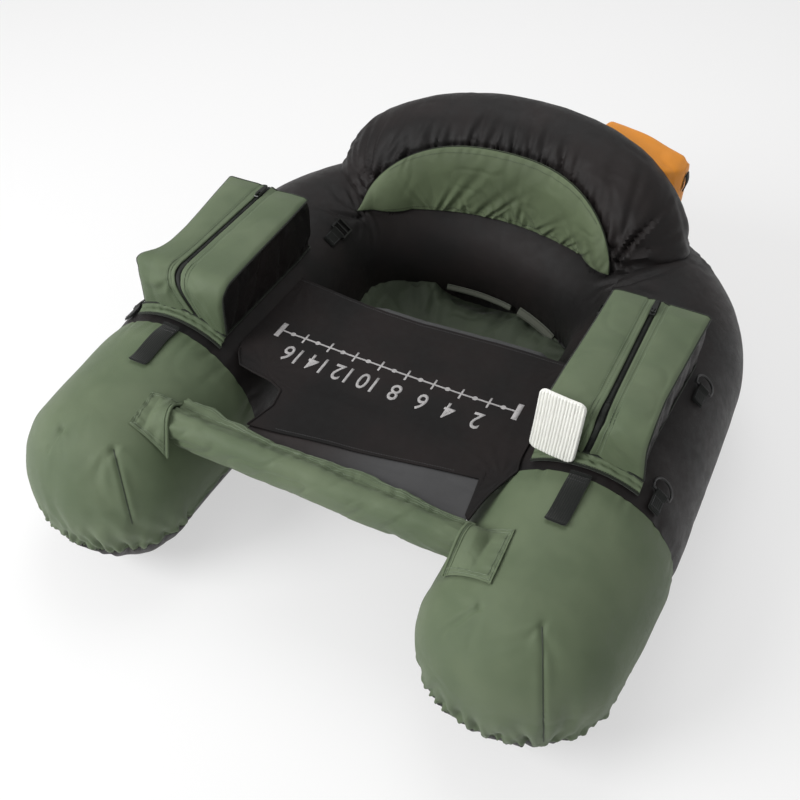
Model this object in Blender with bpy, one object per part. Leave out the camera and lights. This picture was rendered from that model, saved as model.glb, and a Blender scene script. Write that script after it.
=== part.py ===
"""Float tube: a U-shaped inflated ring for one angler, with a backrest, a seat and two side pockets.

X runs to the right in front view, -Y to the open front with the two noses, +Z up.
The origin is on the floor, under the middle of the tube. All lengths are in metres.
"""

import math

import bmesh
import bpy
from mathutils import Matrix, Vector

# Gaps that sewn or laid pieces keep to what carries them
SEAT_GAP = 0.0003
PIVOT_GAP = 0.0004
CUT_OVERRUN = 0.01
SINK = 0.006

# Main tube: two straight legs and an elliptical stern bend
OVERALL_LENGTH = 1.231
LEG_SPACING = 0.766
HULL_RADIUS = 0.165
HULL_SIDES = 28
FLOOR_FLAT = 0.0005
BEND_DEPTH = 0.30
BEND_STEPS = 18

# Noses: round ends beyond the cover seam, drawn in a little and toward the middle
NOSE_SLIMMER = 0.008
NOSE_LENGTH = 0.135
NOSE_TOE_IN = 0.020
NOSE_STEPS = 6
NOSE_TIP_RADIUS = 0.014
SEAM_FROM_TIP = 0.343
SEAM_DRAW = 0.004
SEAM_DRAW_WIDTH = 0.022

# Backrest: an inflated arch that stands on the stern bend
ARCH_FROM_LEG = 0.098
ARCH_ABOVE_MIDDLE = 0.0065
ARCH_RISE = 0.219
ARCH_FROM_STERN = 0.1195
ARCH_LEAN = 0.1125
ARCH_TOP_RADIUS = 0.104
ARCH_SIDE_RADIUS = 0.105
ARCH_SIDES = 22
ARCH_STEPS = 22
ARCH_ROUND_POWER = 0.6
ARCH_PLAN_POWER = 0.7

# Back panel: a crescent pad between the stern bend and the arch
PANEL_FROM_ARCH = 0.021
PANEL_LOW_DROP = 0.0525
PANEL_TIP_DROP = 0.0175
PANEL_HEIGHT = 0.125
PANEL_THICKNESS = 0.005
PANEL_CROWN = 0.008
PANEL_STEPS = 20
PANEL_ROWS = 4
PANEL_EDGE_POWER = 3.5
PANEL_END_SHARE = 0.985

# Stern pouch behind the arch: its top is slack, and its filled right end stands higher
POUCH_OVERHANG = 0.026
POUCH_ABOVE_HULL = 0.0725
POUCH_LOW_DROP = 0.0725
POUCH_DEPTH = 0.0265
POUCH_BOW = 0.035
POUCH_CORNER_RISE = 0.05
POUCH_CORNER_DROOP = 0.039
POUCH_SAG_SHARE = 0.29
POUCH_CORNER_SHARE = 0.45
POUCH_EDGE = 0.02
POUCH_END_DEPTH = 0.055
POUCH_STEPS = 28
POUCH_TAB_WIDTH = 0.022
POUCH_TAB_LENGTH = 0.034
POUCH_TAB_THICKNESS = 0.003

# Side pockets on the legs
POCKET_LENGTH = 0.2975
POCKET_RISE = 0.085
POCKET_INSET = 0.0055
POCKET_BEHIND_SEAM = 0.037
POCKET_BEND_RADIUS = 0.024
POCKET_BEND_STEPS = 6
POCKET_FOOT = 0.05
PANEL_SKIN = 0.003
PANEL_OVERHANG = 0.004
PANEL_FRONT_DROP = 0.068
ZIP_TAPE_WIDTH = 0.016
ZIP_TAPE_SKIN = 0.0016
COIL_WIDTH = 0.0055
COIL_HEIGHT = 0.0024

# Zip slider and its pull
SLIDER_LENGTH = 0.013
SLIDER_WIDTH = 0.0095
SLIDER_HEIGHT = 0.0042
SLIDER_BEVEL = 0.001
SLIDER_FROM_REAR = 0.036
BRIDGE_LENGTH = 0.0105
BRIDGE_WIDTH = 0.0028
BRIDGE_INNER_HEIGHT = 0.0028
BRIDGE_SKIN = 0.0013
PULL_BAR_RADIUS = 0.0009
PULL_BAR_SIDES = 8
PULL_LENGTH = 0.03
PULL_WIDTH = 0.0095
PULL_THICKNESS = 0.0017
PULL_RIM = 0.0018
PULL_WINDOW = 0.0068
PULL_TOE_WIDTH = 0.0065

# Ribbed fleece patch on the front of the right pocket
FLY_PATCH_WIDTH = 0.075
FLY_PATCH_HEIGHT = 0.112
FLY_PATCH_THICKNESS = 0.005
FLY_PATCH_CORNER = 0.012
FLY_PATCH_ABOVE = 0.046
FLY_PATCH_LEAN = 8
FLY_PATCH_TURN = 6
FLY_PATCH_BEYOND = 0.0085
FLY_PATCH_RIB = 0.0012
FLY_PATCH_RIBS = 14

# Webbing tabs that close round a rod, one on each nose
ROD_STRAP_WIDTH = 0.033
ROD_STRAP_LENGTH = 0.1
ROD_STRAP_THICKNESS = 0.0035
ROD_STRAP_INSET = 0.0095
ROD_STRAP_STEPS = 4

# Webbing loops sewn on the tube, with the rings that hang in them
LOOP_WIDTH = 0.022
LOOP_BASE_LENGTH = 0.034
LOOP_BASE_SKIN = 0.0024
LOOP_SKIN = 0.0018
LOOP_SIDES = 12
RING_WIRE_RADIUS = 0.002
RING_HALF_WIDTH = 0.019
RING_DEPTH = 0.027
RING_ARC_STEPS = 10
RING_FACET = 4
REAR_RING_FROM_POCKET = 0.035
FRONT_RING_FROM_SEAM = 0.047
BUCKLE_FACET = 10
BUCKLE_BEFORE_BEND = 0.0095
BUCKLE_HALF_WIDTH = 0.0165
BUCKLE_DEPTH = 0.03
BUCKLE_MIDDLE_SHARE = 0.55
BUCKLE_BAR_RADIUS = 0.0016

# Stabilizer bar, its sleeve and the pockets that take its ends
BAR_RADIUS = 0.016
BAR_WALL = 0.002
BAR_SIDES = 20
BAR_FROM_TIP = 0.1825
BAR_DROP = 0.0355
SLEEVE_SKIN = 0.0035
SLEEVE_FLANGE = 0.064
SLEEVE_HANG = 0.046
SLEEVE_FOLD = 0.01
SLEEVE_FOLD_FRONT = 0.012
SLEEVE_FLANGE_SKIN = 0.003
SLEEVE_END_GAP = 0.0015
BAR_POCKET_WIDTH = 0.082
BAR_POCKET_INSIDE_LEG = 0.147
BAR_POCKET_BEFORE_MIDDLE = 0.061
BAR_POCKET_SKIN = 0.003

# Apron over the lap, with its ruler face
APRON_BEFORE_BEND = 0.1575
APRON_DROP = 0.0415
APRON_SAG = 0.006
APRON_THICKNESS = 0.003
APRON_COLUMNS = 14
APRON_ROWS = 6
APRON_NOTCH_WIDTH = 0.105
APRON_NOTCH_LENGTH = 0.075
HEM_WIDTH = 0.016
HEM_THICKNESS = 0.0085
WEDGE_WIDTH = 0.0485
WEDGE_LEFT_FROM_LEG = 0.233
WEDGE_RIGHT_FROM_LEG = 0.108
WEDGE_THICKNESS = 0.0025

# Seat sling under the apron, sewn to the inner walls of the tube
SEAT_BELOW_MIDDLE = 0.0415
SEAT_SAG = 0.055
SEAT_BEFORE_HEM = 0.062
SEAT_THICKNESS = 0.0035
SEAT_COLUMNS = 14
SEAT_ROWS = 8
SEAT_WEBBING_WIDTH = 0.022
SEAT_WEBBING_THICKNESS = 0.0025
SEAT_WEBBING_LIFT = 0.004
SEAT_WEBBING_STEPS = 6
LEFT_WEBBING_TURN = (113, 76)
RIGHT_WEBBING_TURN = (71, 42)

# Worked out from the sizes above
LEG_X = LEG_SPACING / 2
HULL_APOTHEM = HULL_RADIUS * math.cos(math.pi / HULL_SIDES)
HULL_Z = HULL_APOTHEM - FLOOR_FLAT
HULL_TOP = HULL_Z + HULL_APOTHEM
NOSE_RADIUS = HULL_RADIUS - NOSE_SLIMMER
TIP_Y = -OVERALL_LENGTH / 2
NOSE_Y = TIP_Y + NOSE_LENGTH
SEAM_Y = TIP_Y + SEAM_FROM_TIP
STERN_Y = OVERALL_LENGTH / 2 - HULL_APOTHEM
BEND_Y = STERN_Y - BEND_DEPTH
ARCH_HALF_SPAN = LEG_X - ARCH_FROM_LEG
ARCH_BASE_HEIGHT = HULL_Z + ARCH_ABOVE_MIDDLE
ARCH_BASE_Y = STERN_Y - ARCH_FROM_STERN
PANEL_HALF_WIDTH = ARCH_HALF_SPAN - PANEL_FROM_ARCH
PANEL_LOW = HULL_TOP - PANEL_LOW_DROP
PANEL_TIP = HULL_TOP - PANEL_TIP_DROP
POUCH_HALF_WIDTH = ARCH_HALF_SPAN + POUCH_OVERHANG
POUCH_TOP = HULL_TOP + POUCH_ABOVE_HULL
POUCH_LOW = HULL_TOP - POUCH_LOW_DROP
POUCH_REAR_Y = ARCH_BASE_Y + ARCH_LEAN + ARCH_TOP_RADIUS + POUCH_DEPTH
POCKET_FRONT_Y = SEAM_Y + POCKET_BEHIND_SEAM
POCKET_REAR_Y = POCKET_FRONT_Y + POCKET_LENGTH
POCKET_WIDTH = HULL_RADIUS
POCKET_X = LEG_X - POCKET_INSET
POCKET_TOP = HULL_TOP + POCKET_RISE
REAR_RING_Y = POCKET_REAR_Y - REAR_RING_FROM_POCKET
FRONT_RING_Y = SEAM_Y + FRONT_RING_FROM_SEAM
BUCKLE_Y = BEND_Y - BUCKLE_BEFORE_BEND
BAR_Y = TIP_Y + BAR_FROM_TIP
BAR_HEIGHT = HULL_TOP - BAR_DROP
BAR_POCKET_INNER = LEG_X - BAR_POCKET_INSIDE_LEG
BAR_POCKET_OUTER = LEG_X - BAR_POCKET_BEFORE_MIDDLE
APRON_FRONT_Y = BAR_Y + SLEEVE_FLANGE + WEDGE_WIDTH
APRON_REAR_Y = BEND_Y - APRON_BEFORE_BEND
APRON_HEIGHT = HULL_TOP - APRON_DROP
WEDGE_LEFT_X = WEDGE_LEFT_FROM_LEG - LEG_X
WEDGE_RIGHT_X = LEG_X - WEDGE_RIGHT_FROM_LEG
SEAT_EDGE_HEIGHT = HULL_Z - SEAT_BELOW_MIDDLE
SEAT_FRONT_Y = APRON_REAR_Y - SEAT_BEFORE_HEM
SLEEVE_RADIUS = BAR_RADIUS + SEAT_GAP + SLEEVE_SKIN

# Colours, roughness and metallic value of each material
MATERIALS = {
    "black_cover": ((0.030, 0.029, 0.030, 1), 0.62, 0),
    "green_cover": ((0.130, 0.185, 0.105, 1), 0.66, 0),
    "orange_cover": ((0.900, 0.270, 0.020, 1), 0.6, 0),
    "grey_cloth": ((0.085, 0.085, 0.090, 1), 0.75, 0),
    "black_webbing": ((0.018, 0.021, 0.018, 1), 0.8, 0),
    "grey_webbing": ((0.090, 0.100, 0.070, 1), 0.8, 0),
    "white_fleece": ((0.860, 0.870, 0.790, 1), 0.9, 0),
    "black_plastic": ((0.012, 0.012, 0.012, 1), 0.4, 0),
    "zip_metal": ((0.020, 0.022, 0.020, 1), 0.35, 0.6),
    "bar_metal": ((0.600, 0.600, 0.610, 1), 0.35, 1),
}


def clear_scene():
    for item in list(bpy.data.objects):
        bpy.data.objects.remove(item)


def make_material(name):
    colour, roughness, metallic = MATERIALS[name]
    material = bpy.data.materials.new(name)
    material.use_nodes = True
    shader = material.node_tree.nodes["Principled BSDF"]
    shader.inputs["Base Color"].default_value = colour
    shader.inputs["Roughness"].default_value = roughness
    shader.inputs["Metallic"].default_value = metallic
    material.diffuse_color = colour
    return material


def add_object(name, mesh_builder, material_name, parent=None):
    """Turn a bmesh into a named object with its own material and outward faces."""
    bmesh.ops.recalc_face_normals(mesh_builder, faces=mesh_builder.faces)
    mesh = bpy.data.meshes.new(name)
    mesh_builder.to_mesh(mesh)
    mesh_builder.free()
    mesh.shade_smooth()
    mesh.set_sharp_from_angle(angle=math.radians(35))
    item = bpy.data.objects.new(name, mesh)
    bpy.context.scene.collection.objects.link(item)
    item.parent = parent
    if material_name:
        material = make_material(material_name)
        material.name = name + "_" + material_name
        mesh.materials.append(material)
    return item


def add_cutter(name, mesh_builder, parent=None):
    cutter = add_object(name, mesh_builder, None, parent)
    cutter.hide_render = True
    cutter.display_type = "WIRE"
    return cutter


def combine(item, other, operation):
    modifier = item.modifiers.new(operation.lower() + "_" + other.name, "BOOLEAN")
    modifier.operation = operation
    modifier.object = other
    modifier.solver = "EXACT"


def add_empty(name, place, turn=None, parent=None):
    empty = bpy.data.objects.new(name, None)
    bpy.context.scene.collection.objects.link(empty)
    matrix = Matrix.Translation(place)
    if turn is not None:
        matrix = matrix @ turn
    empty.matrix_local = matrix
    empty.parent = parent
    return empty


def skin_rings(rings, closed=False):
    """Close a row of equal rings of points into one solid, capped or joined end to end.

    Every patch is split along the same diagonal, so a grown copy keeps an even gap.
    """
    builder = bmesh.new()
    loops = [[builder.verts.new(point) for point in ring] for ring in rings]
    pairs = list(zip(loops, loops[1:]))
    if closed:
        pairs.append((loops[-1], loops[0]))
    for first, second in pairs:
        for index in range(len(first)):
            after = (index + 1) % len(first)
            builder.faces.new((first[index], first[after], second[after], second[index]))
    if not closed:
        builder.faces.new(list(reversed(loops[0])))
        builder.faces.new(loops[-1])
    bmesh.ops.triangulate(builder, faces=builder.faces, quad_method="FIXED")
    return builder


def skin_sheet(top, bottom):
    """Close a grid of points and a second grid under it into one thin solid."""
    builder = bmesh.new()
    upper = [[builder.verts.new(point) for point in row] for row in top]
    lower = [[builder.verts.new(point) for point in row] for row in bottom]
    last_row = len(upper) - 1
    last_column = len(upper[0]) - 1
    for row in range(last_row):
        for column in range(last_column):
            for grid in (upper, lower):
                builder.faces.new((grid[row][column], grid[row][column + 1],
                                   grid[row + 1][column + 1], grid[row + 1][column]))
        for column in (0, last_column):
            builder.faces.new((upper[row][column], upper[row + 1][column],
                               lower[row + 1][column], lower[row][column]))
    for row in (0, last_row):
        for column in range(last_column):
            builder.faces.new((upper[row][column], upper[row][column + 1],
                               lower[row][column + 1], lower[row][column]))
    bmesh.ops.triangulate(builder, faces=builder.faces, quad_method="FIXED")
    return builder


def extrude_outline(outline, depth, axis):
    """Extrude a flat outline along an axis vector times a depth."""
    builder = bmesh.new()
    face = builder.faces.new([builder.verts.new(point) for point in outline])
    result = bmesh.ops.extrude_face_region(builder, geom=[face])
    moved = [part for part in result["geom"] if isinstance(part, bmesh.types.BMVert)]
    bmesh.ops.translate(builder, verts=moved, vec=Vector(axis) * depth)
    return builder


def make_box(size, centre):
    builder = bmesh.new()
    bmesh.ops.create_cube(builder, size=1)
    bmesh.ops.scale(builder, verts=builder.verts, vec=size)
    bmesh.ops.translate(builder, verts=builder.verts, vec=centre)
    return builder


def make_rod(radius, start, end, sides):
    """Round rod between two points."""
    along = Vector(end) - Vector(start)
    builder = bmesh.new()
    bmesh.ops.create_cone(builder, cap_ends=True, segments=sides, radius1=radius, radius2=radius,
                          depth=along.length)
    turn = Vector((0, 0, 1)).rotation_difference(along.normalized()).to_matrix()
    bmesh.ops.rotate(builder, verts=builder.verts, matrix=turn)
    bmesh.ops.translate(builder, verts=builder.verts, vec=(Vector(start) + Vector(end)) / 2)
    return builder


# Main tube

def leg_x_at(y):
    """How far a leg's centre line lies from the middle: the noses turn in a little."""
    share = max(SEAM_Y - y, 0) / (SEAM_Y - TIP_Y)
    return LEG_X - NOSE_TOE_IN * share * share


def nose_radius_at(y):
    """Radius of the nose cover from its widest section back to the seam."""
    share = (y - NOSE_Y) / (SEAM_Y - NOSE_Y)
    plain = NOSE_RADIUS + (HULL_RADIUS - NOSE_RADIUS) * share
    return plain - seam_draw_at(y)


def seam_draw_at(y):
    """How far the seam draws the cover in near its stitching."""
    return SEAM_DRAW * math.exp(-((y - SEAM_Y) / SEAM_DRAW_WIDTH) ** 2)


def tube_ring(centre, outward, radius, growth):
    """Section of the tube, flat where it bears on the floor."""
    ring = []
    for side in range(HULL_SIDES):
        angle = 2 * math.pi * (side + 1 / 2) / HULL_SIDES
        reach = (radius + growth) * math.cos(angle)
        height = HULL_Z + (radius + growth) * math.sin(angle)
        flat = Vector((centre[0], centre[1])) + Vector(outward) * reach
        ring.append(Vector((flat.x, flat.y, max(height, -growth))))
    return ring


def nose_rings(side, growth):
    """Sections of one nose from its tip to the seam."""
    rings = []
    tip_angle = math.asin(NOSE_TIP_RADIUS / NOSE_RADIUS)
    for step in range(NOSE_STEPS + 1):
        angle = tip_angle + (math.pi / 2 - tip_angle) * step / NOSE_STEPS
        y = NOSE_Y - (NOSE_LENGTH + growth) * math.cos(angle) / math.cos(tip_angle)
        rings.append(tube_ring((side * leg_x_at(y), y), (side, 0), NOSE_RADIUS * math.sin(angle), growth))
    for y in ((NOSE_Y + SEAM_Y) / 2, SEAM_Y - SEAM_DRAW_WIDTH, SEAM_Y):
        rings.append(tube_ring((side * leg_x_at(y), y), (side, 0), nose_radius_at(y), growth))
    return rings


def leg_rings(side, growth, start_y):
    """Sections of one straight leg from the seam to the bend."""
    places = (start_y, SEAM_Y + SEAM_DRAW_WIDTH, SEAM_Y + POCKET_BEHIND_SEAM)
    rings = []
    for y in places:
        radius = HULL_RADIUS - seam_draw_at(y)
        rings.append(tube_ring((side * LEG_X, y), (side, 0), radius, growth))
    return rings


def bend_rings(growth):
    """Sections of the stern bend from left to right."""
    rings = []
    for step in range(BEND_STEPS + 1):
        angle = math.pi * (1 - step / BEND_STEPS)
        centre = (LEG_X * math.cos(angle), BEND_Y + BEND_DEPTH * math.sin(angle))
        outward = Vector((BEND_DEPTH * math.cos(angle), LEG_X * math.sin(angle))).normalized()
        rings.append(tube_ring(centre, outward, HULL_RADIUS, growth))
    return rings


def whole_tube(growth):
    """The tube with both noses as one closed body, grown by a clearance."""
    left = nose_rings(-1, growth)[:-1] + leg_rings(-1, growth, SEAM_Y)
    right = nose_rings(1, growth)[:-1] + leg_rings(1, growth, SEAM_Y)
    return skin_rings(left + bend_rings(growth) + list(reversed(right)))


def build_hull():
    left = leg_rings(-1, 0, SEAM_Y + SEAT_GAP)
    right = leg_rings(1, 0, SEAM_Y + SEAT_GAP)
    add_object("hull_cover", skin_rings(left + bend_rings(0) + list(reversed(right))), "black_cover")
    for side, label in ((-1, "left"), (1, "right")):
        add_object(label + "_nose_cover", skin_rings(nose_rings(side, 0)), "green_cover")


def hull_front_at(x, height):
    """Y of the tube's inner wall at the stern, at a place across and a height."""
    share = x / LEG_X
    y = BEND_Y + BEND_DEPTH * math.sqrt(1 - share * share)
    slope = BEND_DEPTH * share / (LEG_X * math.sqrt(1 - share * share))
    reach = math.sqrt(HULL_RADIUS ** 2 - (height - HULL_Z) ** 2)
    return y - reach * math.hypot(1, slope)


def inner_wall_at(angle, offset):
    """Place on the bend's inner wall at mid height, at an angle of the bend."""
    outward = Vector((BEND_DEPTH * math.cos(angle), LEG_X * math.sin(angle))).normalized()
    centre = Vector((LEG_X * math.cos(angle), BEND_Y + BEND_DEPTH * math.sin(angle)))
    return centre - outward * (HULL_RADIUS + offset)


# Backrest

def arch_plan_y(x):
    return ARCH_BASE_Y + ARCH_LEAN * max(1 - (x / ARCH_HALF_SPAN) ** 2, 0) ** ARCH_PLAN_POWER


def arch_centre(angle):
    across = math.copysign(abs(math.cos(angle)) ** ARCH_ROUND_POWER, -math.cos(angle))
    x = ARCH_HALF_SPAN * across
    z = ARCH_BASE_HEIGHT + ARCH_RISE * math.sin(angle) ** ARCH_ROUND_POWER
    return Vector((x, arch_plan_y(x), z))


def arch_solid(growth):
    """The arch as one closed body, its sections square to its centre line."""
    rings = []
    step_angle = math.pi / ARCH_STEPS
    probe = step_angle / 4
    for step in range(ARCH_STEPS + 1):
        angle = min(max(step * step_angle, probe), math.pi - probe)
        centre = arch_centre(angle)
        along = (arch_centre(angle + probe / 2) - arch_centre(angle - probe / 2)).normalized()
        front = Vector((0, -1, 0))
        front = (front - along * front.dot(along)).normalized()
        side = along.cross(front)
        share = math.sin(angle)
        radius = ARCH_SIDE_RADIUS + (ARCH_TOP_RADIUS - ARCH_SIDE_RADIUS) * share + growth
        ring = []
        for index in range(ARCH_SIDES):
            turn = 2 * math.pi * index / ARCH_SIDES
            ring.append(centre + front * radius * math.cos(turn) + side * radius * math.sin(turn))
        rings.append(ring)
    return skin_rings(rings)


def arch_front_at(x):
    """Y of the arch's front at a place across."""
    half = SEAT_GAP
    slope = (arch_plan_y(x + half) - arch_plan_y(x - half)) / (2 * half)
    return arch_plan_y(x) - ARCH_SIDE_RADIUS * math.hypot(1, slope)


def panel_solid():
    """Crescent block whose back is cut by the tube and the arch, with a crowned front."""
    rings = []
    for step in range(PANEL_STEPS + 1):
        share = PANEL_END_SHARE * (2 * step / PANEL_STEPS - 1)
        x = PANEL_HALF_WIDTH * share
        low = PANEL_LOW + (PANEL_TIP - PANEL_LOW) * share * share
        high = PANEL_TIP + PANEL_HEIGHT * math.sqrt(1 - abs(share) ** PANEL_EDGE_POWER)
        front = min(hull_front_at(x, low), arch_front_at(x)) - PANEL_THICKNESS
        ring = []
        for row in range(PANEL_ROWS + 1):
            up = row / PANEL_ROWS
            crown = PANEL_CROWN * 4 * up * (1 - up) * (1 - share * share)
            ring.append(Vector((x, front - crown, low + (high - low) * up)))
        back = arch_plan_y(x)
        ring.append(Vector((x, back, high)))
        ring.append(Vector((x, back, low)))
        rings.append(ring)
    return skin_rings(rings)


def build_backrest(tube_clearance):
    arch = add_object("backrest_cover", arch_solid(0), "black_cover")
    combine(arch, tube_clearance, "DIFFERENCE")
    arch_clearance = add_cutter("arch_clearance", arch_solid(SEAT_GAP))
    panel = add_object("back_panel", panel_solid(), "green_cover")
    combine(panel, tube_clearance, "DIFFERENCE")
    combine(panel, arch_clearance, "DIFFERENCE")
    return arch_clearance


# Stern pouch

def pouch_top_at(share):
    """Height of the pouch at a share of its half width: slack, raised at the right, drooped at its ends."""
    ramp = (share - POUCH_SAG_SHARE) / (POUCH_CORNER_SHARE - POUCH_SAG_SHARE)
    ramp = min(max(ramp, 0), 1)
    raised = ramp * ramp * (3 - 2 * ramp)
    return POUCH_TOP + POUCH_CORNER_RISE * raised - POUCH_CORNER_DROOP * share ** 4


def pouch_solid():
    rings = []
    for step in range(POUCH_STEPS + 1):
        share = 2 * step / POUCH_STEPS - 1
        x = POUCH_HALF_WIDTH * share
        top = pouch_top_at(share)
        outer = POUCH_REAR_Y - POUCH_BOW * share * share
        inner = arch_plan_y(x)
        inner += (outer - POUCH_END_DEPTH - inner) * share ** 4
        rings.append([
            Vector((x, inner, POUCH_LOW)),
            Vector((x, outer, POUCH_LOW)),
            Vector((x, outer, top - POUCH_EDGE)),
            Vector((x, outer - POUCH_EDGE, top)),
            Vector((x, inner, top)),
        ])
    return skin_rings(rings)


def build_pouch(tube_clearance, arch_clearance):
    pouch = add_object("stern_pouch", pouch_solid(), "orange_cover")
    combine(pouch, tube_clearance, "DIFFERENCE")
    combine(pouch, arch_clearance, "DIFFERENCE")
    tab_y = POUCH_REAR_Y - POUCH_BOW - POUCH_EDGE - POUCH_TAB_WIDTH / 2
    for side, label in ((-1, "left"), (1, "right")):
        x = side * (POUCH_HALF_WIDTH + SEAT_GAP + POUCH_TAB_THICKNESS / 2)
        size = (POUCH_TAB_THICKNESS, POUCH_TAB_WIDTH, POUCH_TAB_LENGTH)
        place = (x, tab_y, pouch_top_at(side) - POUCH_EDGE - POUCH_TAB_LENGTH / 2)
        add_object(label + "_pouch_tab", make_box(size, place), "black_webbing")


# Side pockets

def pocket_profile(offset, rear_y, foot):
    """Side outline over the top and down the front, offset outward, ending at a foot height."""
    radius = POCKET_BEND_RADIUS + offset
    centre = (POCKET_FRONT_Y + POCKET_BEND_RADIUS, POCKET_TOP - POCKET_BEND_RADIUS)
    points = [(rear_y, POCKET_TOP + offset)]
    for step in range(POCKET_BEND_STEPS + 1):
        angle = math.pi / 2 * (1 + step / POCKET_BEND_STEPS)
        points.append((centre[0] + radius * math.cos(angle), centre[1] + radius * math.sin(angle)))
    points.append((POCKET_FRONT_Y - offset, foot))
    return points


def band_over_pocket(low_offset, high_offset, x_near, x_far, rear_y, foot):
    """Bent strip between two offsets over the pocket's top and front."""
    upper = pocket_profile(high_offset, rear_y, foot)
    lower = pocket_profile(low_offset, rear_y, foot)
    outline = [Vector((x_near, y, z)) for y, z in upper + list(reversed(lower))]
    return extrude_outline(outline, x_far - x_near, (1, 0, 0))


def build_pocket(side, label, tube_clearance):
    centre_x = side * POCKET_X
    half = POCKET_WIDTH / 2
    core = pocket_profile(0, POCKET_REAR_Y, HULL_TOP - POCKET_FOOT)
    core.append((POCKET_REAR_Y, HULL_TOP - POCKET_FOOT))
    outline = [Vector((centre_x - half, y, z)) for y, z in core]
    body = add_object(label + "_pocket_body", extrude_outline(outline, POCKET_WIDTH, (1, 0, 0)), "black_cover")
    combine(body, tube_clearance, "DIFFERENCE")

    foot = POCKET_TOP - PANEL_FRONT_DROP
    rear_y = POCKET_REAR_Y + PANEL_OVERHANG
    tape = ZIP_TAPE_WIDTH / 2
    reach = half + PANEL_OVERHANG
    spans = {"outer": (side * (tape + SEAT_GAP), side * reach),
             "inner": (-side * (tape + SEAT_GAP), -side * reach)}
    for place, (near, far) in spans.items():
        band = band_over_pocket(SEAT_GAP, PANEL_SKIN, centre_x + near, centre_x + far, rear_y, foot)
        add_object(label + "_pocket_" + place + "_panel", band, "green_cover")
    band = band_over_pocket(SEAT_GAP, ZIP_TAPE_SKIN, centre_x - tape, centre_x + tape, rear_y, foot)
    add_object(label + "_zip_tape", band, "black_webbing")
    coil_low = ZIP_TAPE_SKIN + SEAT_GAP
    band = band_over_pocket(coil_low, coil_low + COIL_HEIGHT, centre_x - COIL_WIDTH / 2,
                            centre_x + COIL_WIDTH / 2, rear_y, foot)
    add_object(label + "_zip_coil", band, "zip_metal")
    build_slider(label, centre_x, POCKET_TOP + coil_low + COIL_HEIGHT + SEAT_GAP)


def build_slider(label, x, low):
    """Slider body with a bridge, and the pull whose cross bar passes under the bridge."""
    root = add_empty(label + "_slider_place", (x, POCKET_REAR_Y - SLIDER_FROM_REAR, low))
    body = make_box((SLIDER_WIDTH, SLIDER_LENGTH, SLIDER_HEIGHT), (0, 0, SLIDER_HEIGHT / 2))
    edges = [edge for edge in body.edges]
    bmesh.ops.bevel(body, geom=edges, offset=SLIDER_BEVEL, segments=1, affect="EDGES")
    slider = add_object(label + "_zip_slider", body, "zip_metal", root)
    top = SLIDER_HEIGHT + BRIDGE_INNER_HEIGHT + BRIDGE_SKIN
    bridge = make_box((BRIDGE_WIDTH, BRIDGE_LENGTH, top - SLIDER_BEVEL),
                      (0, 0, (top + SLIDER_BEVEL) / 2))
    bridge_item = add_cutter(label + "_bridge_block", bridge, root)
    inner = BRIDGE_LENGTH - 2 * BRIDGE_SKIN
    window = make_box((BRIDGE_WIDTH + CUT_OVERRUN, inner, BRIDGE_INNER_HEIGHT),
                      (0, 0, SLIDER_HEIGHT + BRIDGE_INNER_HEIGHT / 2))
    window_item = add_cutter(label + "_bridge_window", window, root)
    combine(slider, bridge_item, "UNION")
    combine(slider, window_item, "DIFFERENCE")

    hinge = add_empty(label + "_pull_axis", (0, 0, SLIDER_HEIGHT + BRIDGE_INNER_HEIGHT / 2), None, root)
    half = PULL_WIDTH / 2
    toe = PULL_TOE_WIDTH / 2
    low_z = -PULL_THICKNESS / 2
    outline = [Vector((-half, 0, low_z)), Vector((half, 0, low_z)),
               Vector((half, PULL_WINDOW + PULL_RIM, low_z)), Vector((toe, PULL_LENGTH, low_z)),
               Vector((-toe, PULL_LENGTH, low_z)), Vector((-half, PULL_WINDOW + PULL_RIM, low_z))]
    pull = add_object(label + "_zip_pull", extrude_outline(outline, PULL_THICKNESS, (0, 0, 1)), "zip_metal", hinge)
    opening = make_box((PULL_WIDTH - 2 * PULL_RIM, PULL_WINDOW + CUT_OVERRUN, PULL_THICKNESS + CUT_OVERRUN),
                       (0, (PULL_WINDOW - CUT_OVERRUN) / 2, 0))
    opening_item = add_cutter(label + "_pull_window", opening, hinge)
    bar = make_rod(PULL_BAR_RADIUS, (-half, 0, 0), (half, 0, 0), PULL_BAR_SIDES)
    bar_item = add_cutter(label + "_pull_bar", bar, hinge)
    combine(pull, opening_item, "DIFFERENCE")
    combine(pull, bar_item, "UNION")


def rounded_rectangle(width, height, corner, steps):
    """Corner-rounded outline round the origin, anticlockwise, as flat pairs."""
    points = []
    for turn, (sx, sy) in enumerate(((1, 1), (-1, 1), (-1, -1), (1, -1))):
        centre = (sx * (width / 2 - corner), sy * (height / 2 - corner))
        for step in range(steps + 1):
            angle = math.pi / 2 * (turn + step / steps)
            points.append((centre[0] + corner * math.cos(angle), centre[1] + corner * math.sin(angle)))
    return points


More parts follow.
